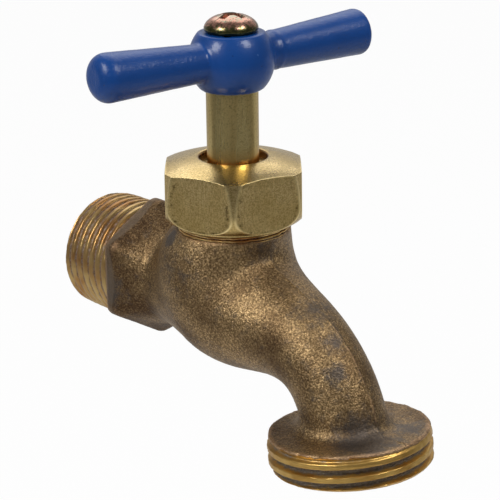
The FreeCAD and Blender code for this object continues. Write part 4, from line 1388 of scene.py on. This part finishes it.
def add_softbox(name, direction, distance, width, power):
    """Adds a square lamp that faces the tap."""
    lamp = bpy.data.lights.new(name, "AREA")
    lamp.shape = "SQUARE"
    lamp.size = width
    lamp.energy = power
    away = (
        CAMERA_RIGHT * direction[0] + CAMERA_UP * direction[1] + CAMERA_BACK * direction[2]
    ).normalized()
    box = bpy.data.objects.new(name, lamp)
    box.location = SUBJECT * MM + away * distance
    box.rotation_mode = "QUATERNION"
    box.rotation_quaternion = away.to_track_quat("Z", "Y")
    bpy.context.scene.collection.objects.link(box)


def mirrored_backdrop(tree, path, place, near, far):
    """Adds what mirrors see of the white backdrop: it grows along the level direction behind
    the tap."""
    beyond = add_node(tree, "ShaderNodeVectorMath", [place, BEHIND], operation="DOT_PRODUCT")
    backdrop = add_node(tree, "ShaderNodeMapRange", [beyond, near, far, 0.0, BACKDROP_SHARE])
    return add_node(
        tree, "ShaderNodeMath", [path["Is Glossy Ray"], backdrop], operation="MULTIPLY"
    )


def add_room():
    """Adds the room's light, dim in front of the tap and white behind it."""
    world = bpy.data.worlds.new("studio")
    bpy.context.scene.world = world
    world.use_nodes = True
    tree = world.node_tree
    tree.nodes.clear()
    path = add_node(tree, "ShaderNodeLightPath").outputs
    direction = add_node(tree, "ShaderNodeTexCoord").outputs["Generated"]
    mirrored = mirrored_backdrop(tree, path, direction, 0.3, 0.8)
    shown = add_node(
        tree, "ShaderNodeMath", [path["Is Camera Ray"], mirrored], operation="MAXIMUM"
    )
    room = add_node(tree, "ShaderNodeBackground", {"Color": "#ffffff", "Strength": ROOM_LIGHT})
    white = add_node(tree, "ShaderNodeBackground", {"Color": "#ffffff", "Strength": 1.0})
    mixed = add_node(tree, "ShaderNodeMixShader", [shown, room, white])
    add_node(tree, "ShaderNodeOutputWorld", {"Surface": mixed})


def add_floor():
    """Adds a pale floor that keeps the tap's shadow."""
    mesh = bpy.data.meshes.new("floor")
    corners = [(-1, -1), (1, -1), (1, 1), (-1, 1)]
    mesh.from_pydata(
        [(x * FLOOR_HALF, y * FLOOR_HALF, FLOOR_HEIGHT) for x, y in corners], [], [(0, 1, 2, 3)]
    )
    material, tree = empty_material("pale_floor")
    path = add_node(tree, "ShaderNodeLightPath").outputs
    spot = add_node(tree, "ShaderNodeTexCoord").outputs["Object"]
    mirrored = mirrored_backdrop(tree, path, spot, 0.1, 0.6)
    seen = add_node(tree, "ShaderNodeMath", [path["Is Camera Ray"], 0.97], operation="MULTIPLY")
    shown = add_node(tree, "ShaderNodeMath", [seen, mirrored], operation="MAXIMUM")
    matt = add_node(tree, "ShaderNodeBsdfDiffuse", {"Color": "#e8e8e8"})
    glow = add_node(tree, "ShaderNodeEmission", {"Color": "#ffffff", "Strength": 1.0})
    mixed = add_node(tree, "ShaderNodeMixShader", [shown, matt, glow])
    add_node(tree, "ShaderNodeOutputMaterial", {"Surface": mixed})
    mesh.materials.append(material)
    new_object("floor", mesh)


assemble()
add_camera()
add_room()
add_floor()
for lamp_name, lamp_sizes in LAMPS.items():
    add_softbox(lamp_name, *lamp_sizes)
bpy.context.scene.view_settings.view_transform = "Standard"
